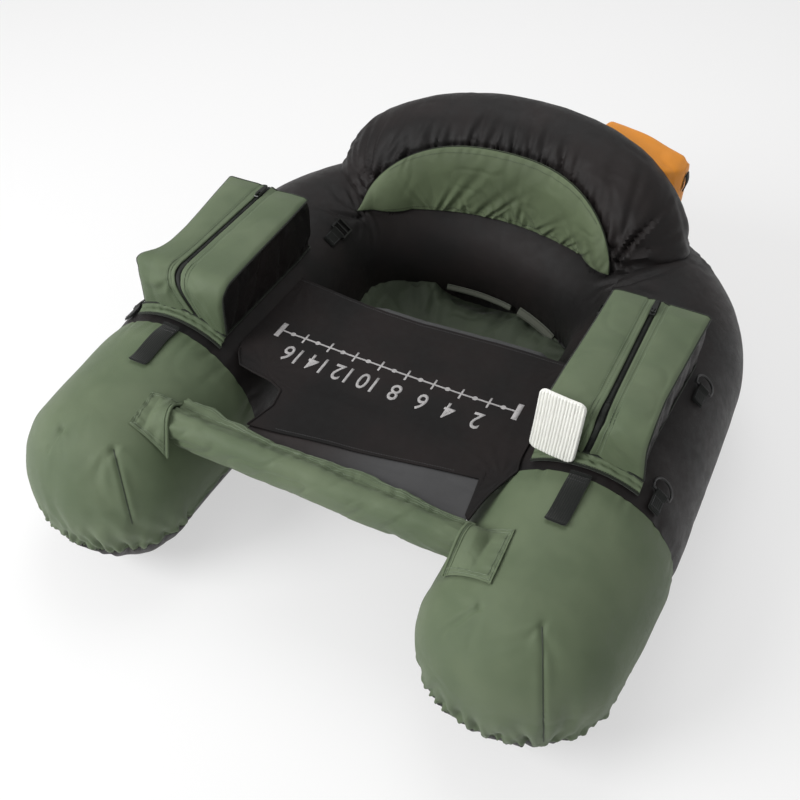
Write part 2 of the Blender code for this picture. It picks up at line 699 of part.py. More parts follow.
def build_fly_patch():
    """Fleece plate with upright ribs, hung on the inner corner of the right pocket's bend."""
    lean = math.radians(FLY_PATCH_LEAN)
    yaw = Matrix.Rotation(-math.radians(FLY_PATCH_TURN), 3, "Z")
    across = yaw @ Vector((1, 0, 0))
    up = yaw @ Vector((0, math.sin(lean), math.cos(lean)))
    normal = across.cross(up)
    x = POCKET_X - POCKET_WIDTH / 2 - PANEL_OVERHANG
    bend = Vector((x, POCKET_FRONT_Y + POCKET_BEND_RADIUS, POCKET_TOP - POCKET_BEND_RADIUS))
    touch = Vector((0, normal.y, normal.z)).normalized() * (POCKET_BEND_RADIUS + PANEL_SKIN)
    middle_x = FLY_PATCH_WIDTH / 2 - FLY_PATCH_BEYOND
    place = bend + touch + normal * SEAT_GAP + across * middle_x
    turn = Matrix((across, up, normal)).transposed().to_4x4()
    root = add_empty("fly_patch_place", place, turn)
    middle = FLY_PATCH_ABOVE - FLY_PATCH_HEIGHT / 2
    flat = rounded_rectangle(FLY_PATCH_WIDTH, FLY_PATCH_HEIGHT, FLY_PATCH_CORNER, 4)
    outline = [Vector((px, middle + py, 0)) for px, py in flat]
    patch = add_object("fly_patch", extrude_outline(outline, FLY_PATCH_THICKNESS, (0, 0, 1)), "white_fleece", root)
    pitch = (FLY_PATCH_WIDTH - 2 * FLY_PATCH_CORNER) / FLY_PATCH_RIBS
    grooves = bmesh.new()
    for index in range(FLY_PATCH_RIBS + 1):
        groove_x = FLY_PATCH_CORNER - FLY_PATCH_WIDTH / 2 + index * pitch
        size = Vector((pitch / 3, FLY_PATCH_HEIGHT + CUT_OVERRUN, 2 * FLY_PATCH_RIB))
        matrix = Matrix.Translation((groove_x, middle, FLY_PATCH_THICKNESS)) @ Matrix.Diagonal(size).to_4x4()
        bmesh.ops.create_cube(grooves, size=1, matrix=matrix)
    combine(patch, add_cutter("fly_patch_grooves", grooves, root), "DIFFERENCE")


def build_rod_strap(side, label, tube_clearance):
    """Webbing tab that lies forward over the nose from the seam."""
    x = side * (LEG_X - ROD_STRAP_INSET)
    half = ROD_STRAP_WIDTH / 2
    rings = []
    for step in range(ROD_STRAP_STEPS + 1):
        y = SEAM_Y - ROD_STRAP_LENGTH * step / ROD_STRAP_STEPS
        lift = nose_radius_at(y) * math.cos(math.pi / HULL_SIDES)
        top = HULL_Z + lift + ROD_STRAP_THICKNESS
        low = HULL_Z + lift - SINK
        rings.append([Vector((x - half, y, low)), Vector((x + half, y, low)),
                      Vector((x + half, y, top)), Vector((x - half, y, top))])
    strap = add_object(label + "_rod_strap", skin_rings(rings), "black_webbing")
    combine(strap, tube_clearance, "DIFFERENCE")


# Webbing loops and rings

def facet_place(side, facet, y):
    """Empty on a facet of a leg: its Z leaves the tube, its Y runs along the leg."""
    angle = 2 * math.pi * facet / HULL_SIDES
    normal = Vector((side * math.cos(angle), 0, math.sin(angle)))
    along = Vector((0, 1, 0))
    across = along.cross(normal)
    place = Vector((side * LEG_X, y, HULL_Z)) + normal * (HULL_APOTHEM + SEAT_GAP)
    turn = Matrix((across, along, normal)).transposed().to_4x4()
    return place, turn


def loop_outline(radius):
    points = []
    for index in range(LOOP_SIDES):
        angle = 2 * math.pi * (index + 1 / 2) / LOOP_SIDES
        points.append((radius * math.cos(angle), radius * math.sin(angle)))
    return points


def build_loop(name, place, wire_radius, span):
    """Sewn webbing base with a rolled loop; the loop's bore takes a ring's straight bar."""
    bore = (wire_radius + PIVOT_GAP) / math.cos(math.pi / LOOP_SIDES)
    outer = bore + LOOP_SKIN
    axis_z = outer
    base = make_box((span, LOOP_BASE_LENGTH, LOOP_BASE_SKIN),
                    (0, -LOOP_BASE_LENGTH / 2, LOOP_BASE_SKIN / 2))
    item = add_object(name, base, "black_webbing", place)
    roll = extrude_outline([Vector((-span / 2, y, axis_z + z)) for y, z in loop_outline(outer)], span, (1, 0, 0))
    hole = extrude_outline([Vector((-span / 2 - CUT_OVERRUN, y, axis_z + z)) for y, z in loop_outline(bore)],
                           span + 2 * CUT_OVERRUN, (1, 0, 0))
    combine(item, add_cutter(name + "_roll", roll, place), "UNION")
    combine(item, add_cutter(name + "_bore", hole, place), "DIFFERENCE")
    return axis_z


def wire_loop(name, points, radius, parent, material_name):
    """Closed wire through points, as a bevelled curve turned to mesh by its bevel."""
    curve = bpy.data.curves.new(name, "CURVE")
    curve.dimensions = "3D"
    curve.bevel_depth = radius
    curve.bevel_resolution = 1
    spline = curve.splines.new("POLY")
    spline.points.add(len(points) - 1)
    for target, point in zip(spline.points, points):
        target.co = (*point, 1)
    spline.use_cyclic_u = True
    material = make_material(material_name)
    material.name = name + "_" + material_name
    curve.materials.append(material)
    item = bpy.data.objects.new(name, curve)
    bpy.context.scene.collection.objects.link(item)
    item.parent = parent
    return item


def ring_points(toward):
    """D shape: a straight bar on the axis and a round bow away from it."""
    points = [Vector((-RING_HALF_WIDTH, 0, 0)), Vector((RING_HALF_WIDTH, 0, 0))]
    for step in range(RING_ARC_STEPS + 1):
        angle = math.pi * step / RING_ARC_STEPS
        bow = RING_DEPTH - RING_HALF_WIDTH / 2
        y = toward * (RING_HALF_WIDTH / 2 + bow * math.sin(angle))
        points.append(Vector((RING_HALF_WIDTH * math.cos(angle), y, 0)))
    return points


def build_ring(side, label, place_label, y):
    name = label + "_" + place_label
    place, turn = facet_place(side, RING_FACET, y)
    root = add_empty(name + "_ring_place", place, turn)
    axis_z = build_loop(name + "_ring_tab", root, RING_WIRE_RADIUS, LOOP_WIDTH)
    hinge = add_empty(name + "_ring_axis", (0, 0, axis_z), None, root)
    wire_loop(name + "_d_ring", ring_points(1), RING_WIRE_RADIUS, hinge, "black_plastic")


def build_buckle(side, label):
    """Three-bar buckle in a webbing loop beside each tip of the back panel."""
    place, turn = facet_place(side, BUCKLE_FACET, BUCKLE_Y)
    root = add_empty(label + "_buckle_place", place, turn)
    width = 2 * (BUCKLE_HALF_WIDTH - 2 * BUCKLE_BAR_RADIUS - PIVOT_GAP)
    axis_z = build_loop(label + "_buckle_tab", root, BUCKLE_BAR_RADIUS * math.sqrt(2), width)
    hinge = add_empty(label + "_buckle_axis", (0, 0, axis_z), None, root)
    corners = [Vector((-BUCKLE_HALF_WIDTH, 0, 0)), Vector((BUCKLE_HALF_WIDTH, 0, 0)),
               Vector((BUCKLE_HALF_WIDTH, BUCKLE_DEPTH, 0)), Vector((-BUCKLE_HALF_WIDTH, BUCKLE_DEPTH, 0))]
    item = add_object(label + "_buckle", frame_solid(corners, BUCKLE_BAR_RADIUS), "black_plastic", hinge)
    middle_y = BUCKLE_DEPTH * BUCKLE_MIDDLE_SHARE
    bar = make_box((2 * BUCKLE_HALF_WIDTH, 2 * BUCKLE_BAR_RADIUS, 2 * BUCKLE_BAR_RADIUS), (0, middle_y, 0))
    combine(item, add_cutter(label + "_buckle_middle", bar, hinge), "UNION")


def frame_solid(corners, radius):
    """Square frame of square bars, centred on its corner points."""
    rings = []
    count = len(corners)
    centre = sum(corners, Vector()) / count
    for corner in corners:
        away = corner - centre
        diagonal = Vector((math.copysign(radius, away.x), math.copysign(radius, away.y), 0))
        up = Vector((0, 0, radius))
        rings.append([corner - diagonal - up, corner + diagonal - up, corner + diagonal + up, corner - diagonal + up])
    return skin_rings(rings, closed=True)


# Bar, sleeve and bar pockets

def bar_half_length():
    """The bar ends just where the tube's inner wall meets its lower side."""
    low = BAR_HEIGHT - BAR_RADIUS - HULL_Z
    reach = nose_radius_at(BAR_Y) + SEAT_GAP
    return leg_x_at(BAR_Y) - math.sqrt(reach ** 2 - low ** 2) - SEAT_GAP


def sleeve_hang_outline():
    """Side outline of the loose cloth that hangs from the bar to a fold in front of its middle."""
    reach = SLEEVE_RADIUS * math.cos(math.pi / BAR_SIDES) - SEAT_GAP
    half_fold = SLEEVE_FOLD / 2
    return [(-reach, 0),
            (-SLEEVE_FOLD_FRONT - half_fold, half_fold - SLEEVE_HANG),
            (-SLEEVE_FOLD_FRONT, -SLEEVE_HANG),
            (-SLEEVE_FOLD_FRONT + half_fold, half_fold - SLEEVE_HANG),
            (reach, 0)]


def build_bar(tube_clearance):
    half = bar_half_length()
    bar = add_object("stabilizer_bar", make_rod(BAR_RADIUS, (-half, BAR_Y, BAR_HEIGHT),
                                                (half, BAR_Y, BAR_HEIGHT), BAR_SIDES), "bar_metal")
    bore = make_rod(BAR_RADIUS - BAR_WALL, (-half - CUT_OVERRUN, BAR_Y, BAR_HEIGHT),
                    (half + CUT_OVERRUN, BAR_Y, BAR_HEIGHT), BAR_SIDES)
    combine(bar, add_cutter("bar_bore", bore), "DIFFERENCE")

    # The outer and inner outlines have the bar's own facets, so the gap is even all round.
    inner = BAR_POCKET_INNER - SLEEVE_END_GAP
    sleeve = make_rod(SLEEVE_RADIUS, (-inner, BAR_Y, BAR_HEIGHT), (inner, BAR_Y, BAR_HEIGHT), BAR_SIDES)
    sleeve_item = add_object("bar_sleeve", sleeve, "green_cover")
    flange_top = BAR_HEIGHT
    flange = make_box((2 * inner, SLEEVE_FLANGE, SLEEVE_FLANGE_SKIN),
                      (0, BAR_Y + SLEEVE_FLANGE / 2, flange_top - SLEEVE_FLANGE_SKIN / 2))
    combine(sleeve_item, add_cutter("sleeve_flange", flange), "UNION")
    hang = extrude_outline([Vector((-inner, BAR_Y + y, BAR_HEIGHT + z)) for y, z in sleeve_hang_outline()],
                           2 * inner, (1, 0, 0))
    combine(sleeve_item, add_cutter("sleeve_hang", hang), "UNION")
    clear = make_rod(BAR_RADIUS + SEAT_GAP, (-half - CUT_OVERRUN, BAR_Y, BAR_HEIGHT),
                     (half + CUT_OVERRUN, BAR_Y, BAR_HEIGHT), BAR_SIDES)
    combine(sleeve_item, add_cutter("sleeve_bore", clear), "DIFFERENCE")
    combine(sleeve_item, tube_clearance, "DIFFERENCE")

    patch_blank = add_cutter("bar_pocket_skin", whole_tube(BAR_POCKET_SKIN))
    seat = make_rod(BAR_RADIUS + SEAT_GAP, (-half - SEAT_GAP, BAR_Y, BAR_HEIGHT),
                    (half + SEAT_GAP, BAR_Y, BAR_HEIGHT), BAR_SIDES)
    seat_item = add_cutter("bar_seat", seat)
    for side, label in ((-1, "left"), (1, "right")):
        build_bar_pocket(side, label, half, patch_blank, seat_item, tube_clearance)


def build_bar_pocket(side, label, half, patch_blank, seat_item, tube_clearance):
    """Square patch on the nose with a short cup over the bar's end."""
    width = BAR_POCKET_OUTER - BAR_POCKET_INNER
    centre_x = side * (BAR_POCKET_OUTER + BAR_POCKET_INNER) / 2
    block = make_box((width, BAR_POCKET_WIDTH, HULL_RADIUS), (centre_x, BAR_Y, HULL_Z + HULL_RADIUS / 2 + BAR_RADIUS))
    patch = add_object(label + "_bar_pocket", block, "green_cover")
    combine(patch, patch_blank, "INTERSECT")
    cup_end = side * (half + BAR_RADIUS)
    cup = make_rod(BAR_RADIUS + SEAT_GAP + BAR_POCKET_SKIN, (side * BAR_POCKET_INNER, BAR_Y, BAR_HEIGHT),
                   (cup_end, BAR_Y, BAR_HEIGHT), BAR_SIDES)
    combine(patch, add_cutter(label + "_bar_cup", cup), "UNION")
    combine(patch, tube_clearance, "DIFFERENCE")
    combine(patch, seat_item, "DIFFERENCE")


# Apron and seat

def apron_reach(height):
    """Half width of the apron where it meets the tube's inner walls."""
    return LEG_X - math.sqrt(HULL_RADIUS ** 2 - (height - HULL_Z) ** 2)


def apron_top_at(x):
    share = x / apron_reach(APRON_HEIGHT)
    return APRON_HEIGHT - APRON_SAG * (1 - share * share)


def sheet_solid(rows, columns, thickness, height_at):
    """Sheet through rows of (y, left x, right x), thick downward from a height rule."""
    top = []
    bottom = []
    for y, left, right in rows:
        line = []
        under = []
        for column in range(columns + 1):
            x = left + (right - left) * column / columns
            z = height_at(x, y)
            line.append(Vector((x, y, z)))
            under.append(Vector((x, y, z - thickness)))
        top.append(line)
        bottom.append(under)
    return skin_sheet(top, bottom)


def build_apron(tube_clearance):
    half = apron_reach(APRON_HEIGHT) + 2 * SINK
    rows = []
    for step in range(APRON_ROWS + 1):
        angle = math.pi / 2 * step / APRON_ROWS
        left = -half + APRON_NOTCH_WIDTH * math.cos(angle)
        rows.append((APRON_FRONT_Y + APRON_NOTCH_LENGTH * math.sin(angle), left, half))
    notch_rear = rows[-1][0]
    for step in range(APRON_ROWS):
        rows.append((notch_rear + (APRON_REAR_Y - notch_rear) * (step + 1) / APRON_ROWS, -half, half))
    sheet = sheet_solid(rows, APRON_COLUMNS, APRON_THICKNESS, lambda x, y: apron_top_at(x))
    apron = add_object("apron", sheet, "black_cover")
    combine(apron, tube_clearance, "DIFFERENCE")

    hem_y = APRON_REAR_Y + SEAT_GAP
    reach = apron_reach(APRON_HEIGHT) - SINK
    rings = []
    for column in range(APRON_COLUMNS + 1):
        x = reach * (2 * column / APRON_COLUMNS - 1)
        middle = apron_top_at(x) - APRON_THICKNESS / 2
        half_hem = HEM_THICKNESS / 2
        rings.append([Vector((x, hem_y, middle - half_hem)), Vector((x, hem_y + HEM_WIDTH * 2 / 3, middle - half_hem)),
                      Vector((x, hem_y + HEM_WIDTH, middle)), Vector((x, hem_y + HEM_WIDTH * 2 / 3, middle + half_hem)),
                      Vector((x, hem_y, middle + half_hem))])
    hem = add_object("apron_hem", skin_rings(rings), "grey_webbing")
    combine(hem, tube_clearance, "DIFFERENCE")
    build_wedge(tube_clearance)


def build_wedge(tube_clearance):
    """Front strip between the apron's edge and the sleeve's flange."""
    front = BAR_Y + SLEEVE_FLANGE + SEAT_GAP
    rear = APRON_FRONT_Y - SEAT_GAP
    rings = []
    for column in range(APRON_COLUMNS + 1):
        x = WEDGE_LEFT_X + (WEDGE_RIGHT_X - WEDGE_LEFT_X) * column / APRON_COLUMNS
        top = apron_top_at(x)
        low = top - WEDGE_THICKNESS
        rings.append([Vector((x, front, low)), Vector((x, rear, low)),
                      Vector((x, rear, top)), Vector((x, front, top))])
    wedge = add_object("apron_wedge", skin_rings(rings), "grey_cloth")
    combine(wedge, tube_clearance, "DIFFERENCE")


def build_seat(tube_clearance):
    half = LEG_X - HULL_RADIUS + 2 * SINK
    rear = STERN_Y - HULL_RADIUS + 2 * SINK

    def height_at(x, y):
        across = 1 - (x / half) ** 2
        along = min((y - SEAT_FRONT_Y) / (rear - SEAT_FRONT_Y), 1)
        return SEAT_EDGE_HEIGHT - SEAT_SAG * across * math.sin(math.pi * (1 + 3 * (1 - along)) / 4 - math.pi / 4)

    rows = []
    for row in range(SEAT_ROWS + 1):
        rows.append((SEAT_FRONT_Y + (rear - SEAT_FRONT_Y) * row / SEAT_ROWS, -half, half))
    sheet = sheet_solid(rows, SEAT_COLUMNS, SEAT_THICKNESS, height_at)
    seat = add_object("seat_sling", sheet, "green_cover")
    combine(seat, tube_clearance, "DIFFERENCE")
    for label, turns in (("left", LEFT_WEBBING_TURN), ("right", RIGHT_WEBBING_TURN)):
        rings = []
        low = SEAT_EDGE_HEIGHT + SEAT_WEBBING_LIFT
        high = low + SEAT_WEBBING_WIDTH
        for step in range(SEAT_WEBBING_STEPS + 1):
            angle = math.radians(turns[0] + (turns[1] - turns[0]) * step / SEAT_WEBBING_STEPS)
            near = inner_wall_at(angle, SEAT_WEBBING_THICKNESS)
            far = inner_wall_at(angle, -2 * SINK)
            rings.append([Vector((*near, low)), Vector((*far, low)), Vector((*far, high)), Vector((*near, high))])
        strap = add_object("seat_webbing_" + label, skin_rings(rings), "grey_webbing")
        combine(strap, tube_clearance, "DIFFERENCE")


def build():
    clear_scene()
    build_hull()
    tube_clearance = add_cutter("tube_clearance", whole_tube(SEAT_GAP))
    arch_clearance = build_backrest(tube_clearance)
    build_pouch(tube_clearance, arch_clearance)
    for side, label in ((-1, "left"), (1, "right")):
        build_pocket(side, label, tube_clearance)
        build_rod_strap(side, label, tube_clearance)
        build_ring(side, label, "front", FRONT_RING_Y)
        build_ring(side, label, "rear", REAR_RING_Y)
        build_buckle(side, label)
    build_fly_patch()
    build_bar(tube_clearance)
    build_apron(tube_clearance)
    build_seat(tube_clearance)


build()
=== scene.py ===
"""Float tube: sewn covers, pockets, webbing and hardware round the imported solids.

X runs to the right in front view, -Y to the open front with the two noses, +Z up, in metres.
"""

import math
import random

import bmesh
import bpy
import numpy as np
from mathutils import Matrix, Vector


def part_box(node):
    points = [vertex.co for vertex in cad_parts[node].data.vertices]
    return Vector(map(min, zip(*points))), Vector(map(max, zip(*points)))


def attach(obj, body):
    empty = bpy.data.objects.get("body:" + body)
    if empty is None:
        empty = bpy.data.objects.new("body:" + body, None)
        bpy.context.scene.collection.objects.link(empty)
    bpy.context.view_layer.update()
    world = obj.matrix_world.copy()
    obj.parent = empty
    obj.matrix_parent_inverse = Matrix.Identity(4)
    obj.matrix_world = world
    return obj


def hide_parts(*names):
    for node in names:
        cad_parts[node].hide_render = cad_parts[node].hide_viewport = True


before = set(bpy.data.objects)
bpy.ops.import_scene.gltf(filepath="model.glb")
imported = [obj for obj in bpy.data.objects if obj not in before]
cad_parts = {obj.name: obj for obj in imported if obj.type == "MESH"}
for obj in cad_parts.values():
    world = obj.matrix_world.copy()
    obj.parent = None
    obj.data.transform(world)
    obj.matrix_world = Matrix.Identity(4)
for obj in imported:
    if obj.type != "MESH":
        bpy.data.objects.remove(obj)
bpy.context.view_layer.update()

# Camera of the photograph
CAMERA_PLACE = (0.545174, -1.203052, 1.398527)
CAMERA_AZIMUTH = 27.054
CAMERA_ELEVATION = 45.094
CAMERA_ROLL = -0.102
FOCAL_PIXELS = 942.36
FRAME_PIXELS = 800
SENSOR_WIDTH = 36
VIEW_CENTRE_PIXELS = 398.7

# Main tube, as in the solids
LEG_X = 0.383
TUBE_RADIUS = 0.165
TUBE_Z = 0.16346
TIP_Y = -0.6155
SEAM_Y = -0.2725
BEND_Y = 0.1515
BEND_DEPTH = 0.30
NOSE_RADIUS = 0.157
NOSE_LENGTH = 0.135
NOSE_Y = TIP_Y + NOSE_LENGTH
NOSE_TOE_IN = 0.020
SEAM_DRAW = 0.004
SEAM_DRAW_WIDTH = 0.022
RIM_Z = 0.112
FLOOR_GAP = 0.0004

# Backrest arch and the crescent panel in front of it
ARCH_HALF_SPAN = 0.285
ARCH_BASE_HEIGHT = 0.17
ARCH_RISE = 0.219
ARCH_BASE_Y = 0.332
ARCH_LEAN = 0.1125
ARCH_TOP_RADIUS = 0.104
ARCH_SIDE_RADIUS = 0.105
ARCH_ROUND_POWER = 0.6
ARCH_PLAN_POWER = 0.7
ARCH_SINK = 0.012
PANEL_X = -0.0122
PANEL_HALF_WIDTH = 0.2633
PANEL_LOW = 0.2865
PANEL_TIP = 0.301
PANEL_RISE = 0.135
PANEL_EDGE_POWER = 3
PANEL_EDGE_ROUND = 0.6
PANEL_THICKNESS = 0.004
PANEL_PIPING_RADIUS = 0.0012

# Side pockets
POCKET_X = 0.3775
POCKET_TOP = 0.4124
POCKET_FRONT_Y = -0.2355
POCKET_REAR_Y = 0.064
POCKET_BEND = 0.03
POCKET_FOOT_Z = 0.345
POCKET_FOOT_HALF = 0.084

# Stern pouch
POUCH_HALF_WIDTH = 0.311
POUCH_TOP = 0.39993
POUCH_LOW = 0.25493
POUCH_REAR_Y = 0.57504
POUCH_BOW = 0.035
POUCH_END_DEPTH = 0.055
POUCH_TAB_WIDTH = 0.022
POUCH_TAB_THICKNESS = 0.0028
POUCH_CORNER_RISE = 0.05
POUCH_CORNER_DROOP = 0.039
POUCH_SAG_SHARE = 0.29
POUCH_CORNER_SHARE = 0.45

# Bar, sleeve, apron and seat
BAR_Y = -0.433
BAR_HEIGHT = 0.292
BAR_RADIUS = 0.016
APRON_HEIGHT = 0.286
APRON_SAG = 0.006
SEAT_EDGE_HEIGHT = 0.122
SEAT_SAG = 0.055
SEAT_FRONT_Y = -0.068

# Colours of the cloth and hardware
GREEN = (0.135, 0.172, 0.100)
GREEN_DEEP = (0.094, 0.128, 0.070)
BLACK = (0.0085, 0.0078, 0.0078)
BLACK_WARM = (0.0165, 0.0122, 0.0118)
PANEL_GREEN = (0.134, 0.174, 0.094)
ORANGE = (0.96, 0.355, 0.036)
# Grey of the apron hem's own cloth; on the black wedge the same grey is a painted highlight
HEM_GREY_AND_WEDGE_HIGHLIGHT = (0.060, 0.060, 0.062)
WEBBING_BLACK = (0.0085, 0.0105, 0.0085)
ZIP_BLACK = (0.006, 0.0072, 0.0058)
WEBBING_GREY = (0.165, 0.175, 0.140)
# Green of the seat: the green nylon painted darker, as painted shade deep in the seat
SEAT_GREEN_PAINTED_SHADE = (0.078, 0.098, 0.064)
FLEECE_WHITE = (0.965, 0.965, 0.91)
PRINT_GREY = (0.47, 0.455, 0.455)
PIPING_DARK = (0.020, 0.026, 0.017)
THREAD_GREEN = (0.17, 0.215, 0.14)
THREAD_DARK = (0.03, 0.04, 0.026)
THREAD_BLACK = (0.05, 0.05, 0.052)
PLASTIC_BLACK = (0.012, 0.012, 0.012)
LACQUER_BLACK = (0.020, 0.022, 0.020)
TEETH_BLACK = (0.005, 0.007, 0.0045)
ALUMINIUM_GREY = (0.60, 0.60, 0.61)
FLOOR_WHITE = (0.92, 0.92, 0.92)


# Shader sums

class Link:
    """One shader socket; sums written on it add Math nodes."""

    def __init__(self, finish, socket):
        self.finish = finish
        self.socket = socket

    def math(self, operation, *others, clamp=False):
        node = self.finish.tree.nodes.new("ShaderNodeMath")
        node.operation = operation
        node.use_clamp = clamp
        for target, value in zip(node.inputs, (self, *others)):
            self.finish.plug(target, value)
        return Link(self.finish, node.outputs[0])

    def flipped(self, operation, value):
        """The same sum with a plain value first."""
        node = self.finish.tree.nodes.new("ShaderNodeMath")
        node.operation = operation
        self.finish.plug(node.inputs[0], value)
        self.finish.plug(node.inputs[1], self)
        return Link(self.finish, node.outputs[0])

    def __add__(self, other):
        return self.math("ADD", other)

    __radd__ = __add__

    def __mul__(self, other):
        return self.math("MULTIPLY", other)

    __rmul__ = __mul__

    def __sub__(self, other):
        return self.math("SUBTRACT", other)

    def __rsub__(self, other):
        return self.flipped("SUBTRACT", other)


class Finish:
    """A material under construction round one Principled shader."""

    def __init__(self, name, colour, roughness, metallic=0, sheen=0, coat=0, specular=0.5):
        self.material = bpy.data.materials.new(name)
        self.material.use_nodes = True
        self.tree = self.material.node_tree
        self.shader = self.tree.nodes["Principled BSDF"]
        self.set("Base Color", colour)
        self.set("Roughness", roughness)
        self.set("Metallic", metallic)
        self.set("Sheen Weight", sheen)
        self.set("Sheen Roughness", 0.4)
        self.set("Coat Weight", coat)
        self.set("Specular IOR Level", specular)

    def plug(self, target, value):
        """Link a socket, or write its value."""
        if isinstance(value, Link):
            self.tree.links.new(value.socket, target)
        elif isinstance(value, (tuple, list)):
            target.default_value = value if len(value) == len(target.default_value) else (*value, 1)
        else:
            target.default_value = value

    def node(self, kind, output, settings=(), values=()):
        """Any node: its settings first, then the values or links of its sockets."""
        made = self.tree.nodes.new(kind)
        for key, value in dict(settings).items():
            setattr(made, key, value)
        for key, value in dict(values).items():
            self.plug(made.inputs[key], value)
        return Link(self, made.outputs[output])

    def place(self, source):
        return self.node("ShaderNodeTexCoord", source)

    def noise(self, vector, scale, detail=2, roughness=0.5):
        return self.node("ShaderNodeTexNoise", "Fac", (),
                         {"Vector": vector, "Scale": scale, "Detail": detail, "Roughness": roughness})

    def axis(self, vector, name):
        return self.node("ShaderNodeSeparateXYZ", name, (), {"Vector": vector})

    def range(self, value, low, high, new_low=0, new_high=1):
        return self.node("ShaderNodeMapRange", 0, {"interpolation_type": "SMOOTHSTEP"},
                         {0: value, 1: low, 2: high, 3: new_low, 4: new_high})

    def mix(self, share, first, second):
        return self.node("ShaderNodeMix", 2, {"data_type": "RGBA"}, {0: share, 6: first, 7: second})

    def bump(self, height, distance, strength):
        values = {"Height": height, "Distance": distance, "Strength": strength}
        return self.node("ShaderNodeBump", "Normal", (), values)

    def set(self, name, value):
        self.plug(self.shader.inputs[name], value)


def deeper(colour, share):
    return tuple(value * share for value in colour)


WEAVE_PITCH = 0.00085
COARSE_PITCH = 0.0014
WEBBING_PITCH = 0.0021
BINDING_PITCH = 0.0012


def woven(name, colour, deep, roughness=0.62, sheen=0.08, specular=0.34, pitch=WEAVE_PITCH, painted_light_from=None):
    """Coated nylon: a fine plain weave with painted shade between its threads, soft random differences of
    tone and small crumples.

    With a range across given last, the cloth is black up to its first place and has its own colour past the
    second, which there is a painted highlight on black cloth.
    """
    cloth = Finish(name, colour, roughness, sheen=sheen, specular=specular)
    sheet = cloth.place("UV")
    space = cloth.place("Object")
    turn = 2 * math.pi / pitch
    across = (cloth.axis(sheet, "X") * turn).math("SINE")
    along = (cloth.axis(sheet, "Y") * turn).math("SINE")
    weave = across * along
    broad = cloth.noise(space, 7.5, 3, 0.55)
    fine = cloth.noise(space, 60, 3, 0.6)
    shade = cloth.range(broad, 0.32, 0.68, 0, 0.75)
    # The weave term adds painted shade: darker where the weave's height is low
    shade = (shade + fine * 0.22 - 0.11).math("ADD", weave * 0.05, clamp=True)
    tone = cloth.mix(shade, deep, colour)
    if painted_light_from:
        # Painted highlight: black cloth up to the first place across, paler grey past the second
        tone = cloth.mix(cloth.range(cloth.axis(space, "X"), *painted_light_from), BLACK_WARM, tone)
    cloth.set("Base Color", tone)
    cloth.set("Roughness", cloth.range(fine, 0.3, 0.7, roughness - 0.05, roughness + 0.05))
    crease = cloth.noise(space, 34, 4, 0.62)
    height = crease * 0.5 + weave * 0.035
    cloth.set("Normal", cloth.bump(height, 0.0022, 0.55))
    return cloth.material


def ribbed(name, colour, share, pitch=WEBBING_PITCH, roughness=0.78):
    """Webbing or binding: ribs across and along it, with painted shade in their valleys that darkens them to
    a share of its colour.
    """
    band = Finish(name, colour, roughness, sheen=0.2, specular=0.3)
    sheet = band.place("UV")
    along = (band.axis(sheet, "Y") * (2 * math.pi / pitch)).math("SINE")
    across = (band.axis(sheet, "X") * (2 * math.pi / (pitch * 1.6))).math("SINE")
    height = along * 0.35 + across * 0.3
    fuzz = band.noise(band.place("Object"), 420, 2, 0.6)
    # Painted shade: darker where the ribs' height is low, with random fuzz in the tone
    shade = (height * 0.6 + fuzz).math("MULTIPLY", 0.8, clamp=True)
    band.set("Base Color", band.mix(shade, deeper(colour, share), colour))
    band.set("Normal", band.bump(height + fuzz * 0.4, 0.0006, 0.7))
    return band.material


def plain(name, colour, roughness, metallic=0, coat=0, grain=220):
    """Moulded or lacquered surface with a faint grain and handling marks."""
    skin = Finish(name, colour, roughness, metallic, coat=coat)
    space = skin.place("Object")
    grains = skin.noise(space, grain, 3, 0.6)
    marks = skin.noise(space, 26, 4, 0.65)
    skin.set("Roughness", skin.range(marks, 0.3, 0.75, roughness * 0.8, min(roughness * 1.3, 1)))
    paler = tuple(min(value * 1.5 + 0.004, 1) for value in colour)
    skin.set("Base Color", skin.mix(skin.range(marks, 0.55, 0.8), colour, paler))
    skin.set("Normal", skin.bump(grains, 0.0002, 0.5))
    return skin.material


def printed(name, colour):
    """Screen print on cloth: slightly broken, so that the dark weave shows through."""
    ink = Finish(name, colour, 0.7, specular=0.3)
    sheet = ink.place("Object")
    specks = ink.noise(sheet, 900, 2, 0.7)
    worn = ink.noise(sheet, 45, 3, 0.6)
    share = ink.range(specks + worn * 0.5, 0.62, 0.84)
    ink.set("Base Color", ink.mix(share, colour, deeper(colour, 0.72)))
    ink.set("Normal", ink.bump(specks, 0.0002, 0.6))
    return ink.material


def fleecy(name, colour):
    """Cropped fleece: fine fluff with painted shade in its hollows, and broad tone that differs at random."""
    fleece = Finish(name, colour, 0.95, sheen=0.5, specular=0.15)
    space = fleece.place("Object")
    fluff = fleece.noise(space, 700, 4, 0.75)
    broad = fleece.noise(space, 60, 2, 0.5)
    # Painted shade: slightly darker where the fluff is low; the broad noise adds random tone
    shade = fleece.range(fluff + broad * 0.4, 0.5, 0.85)
    fleece.set("Base Color", fleece.mix(shade, deeper(colour, 0.93), colour))
    fleece.set("Normal", fleece.bump(fluff, 0.0009, 0.9))
    return fleece.material


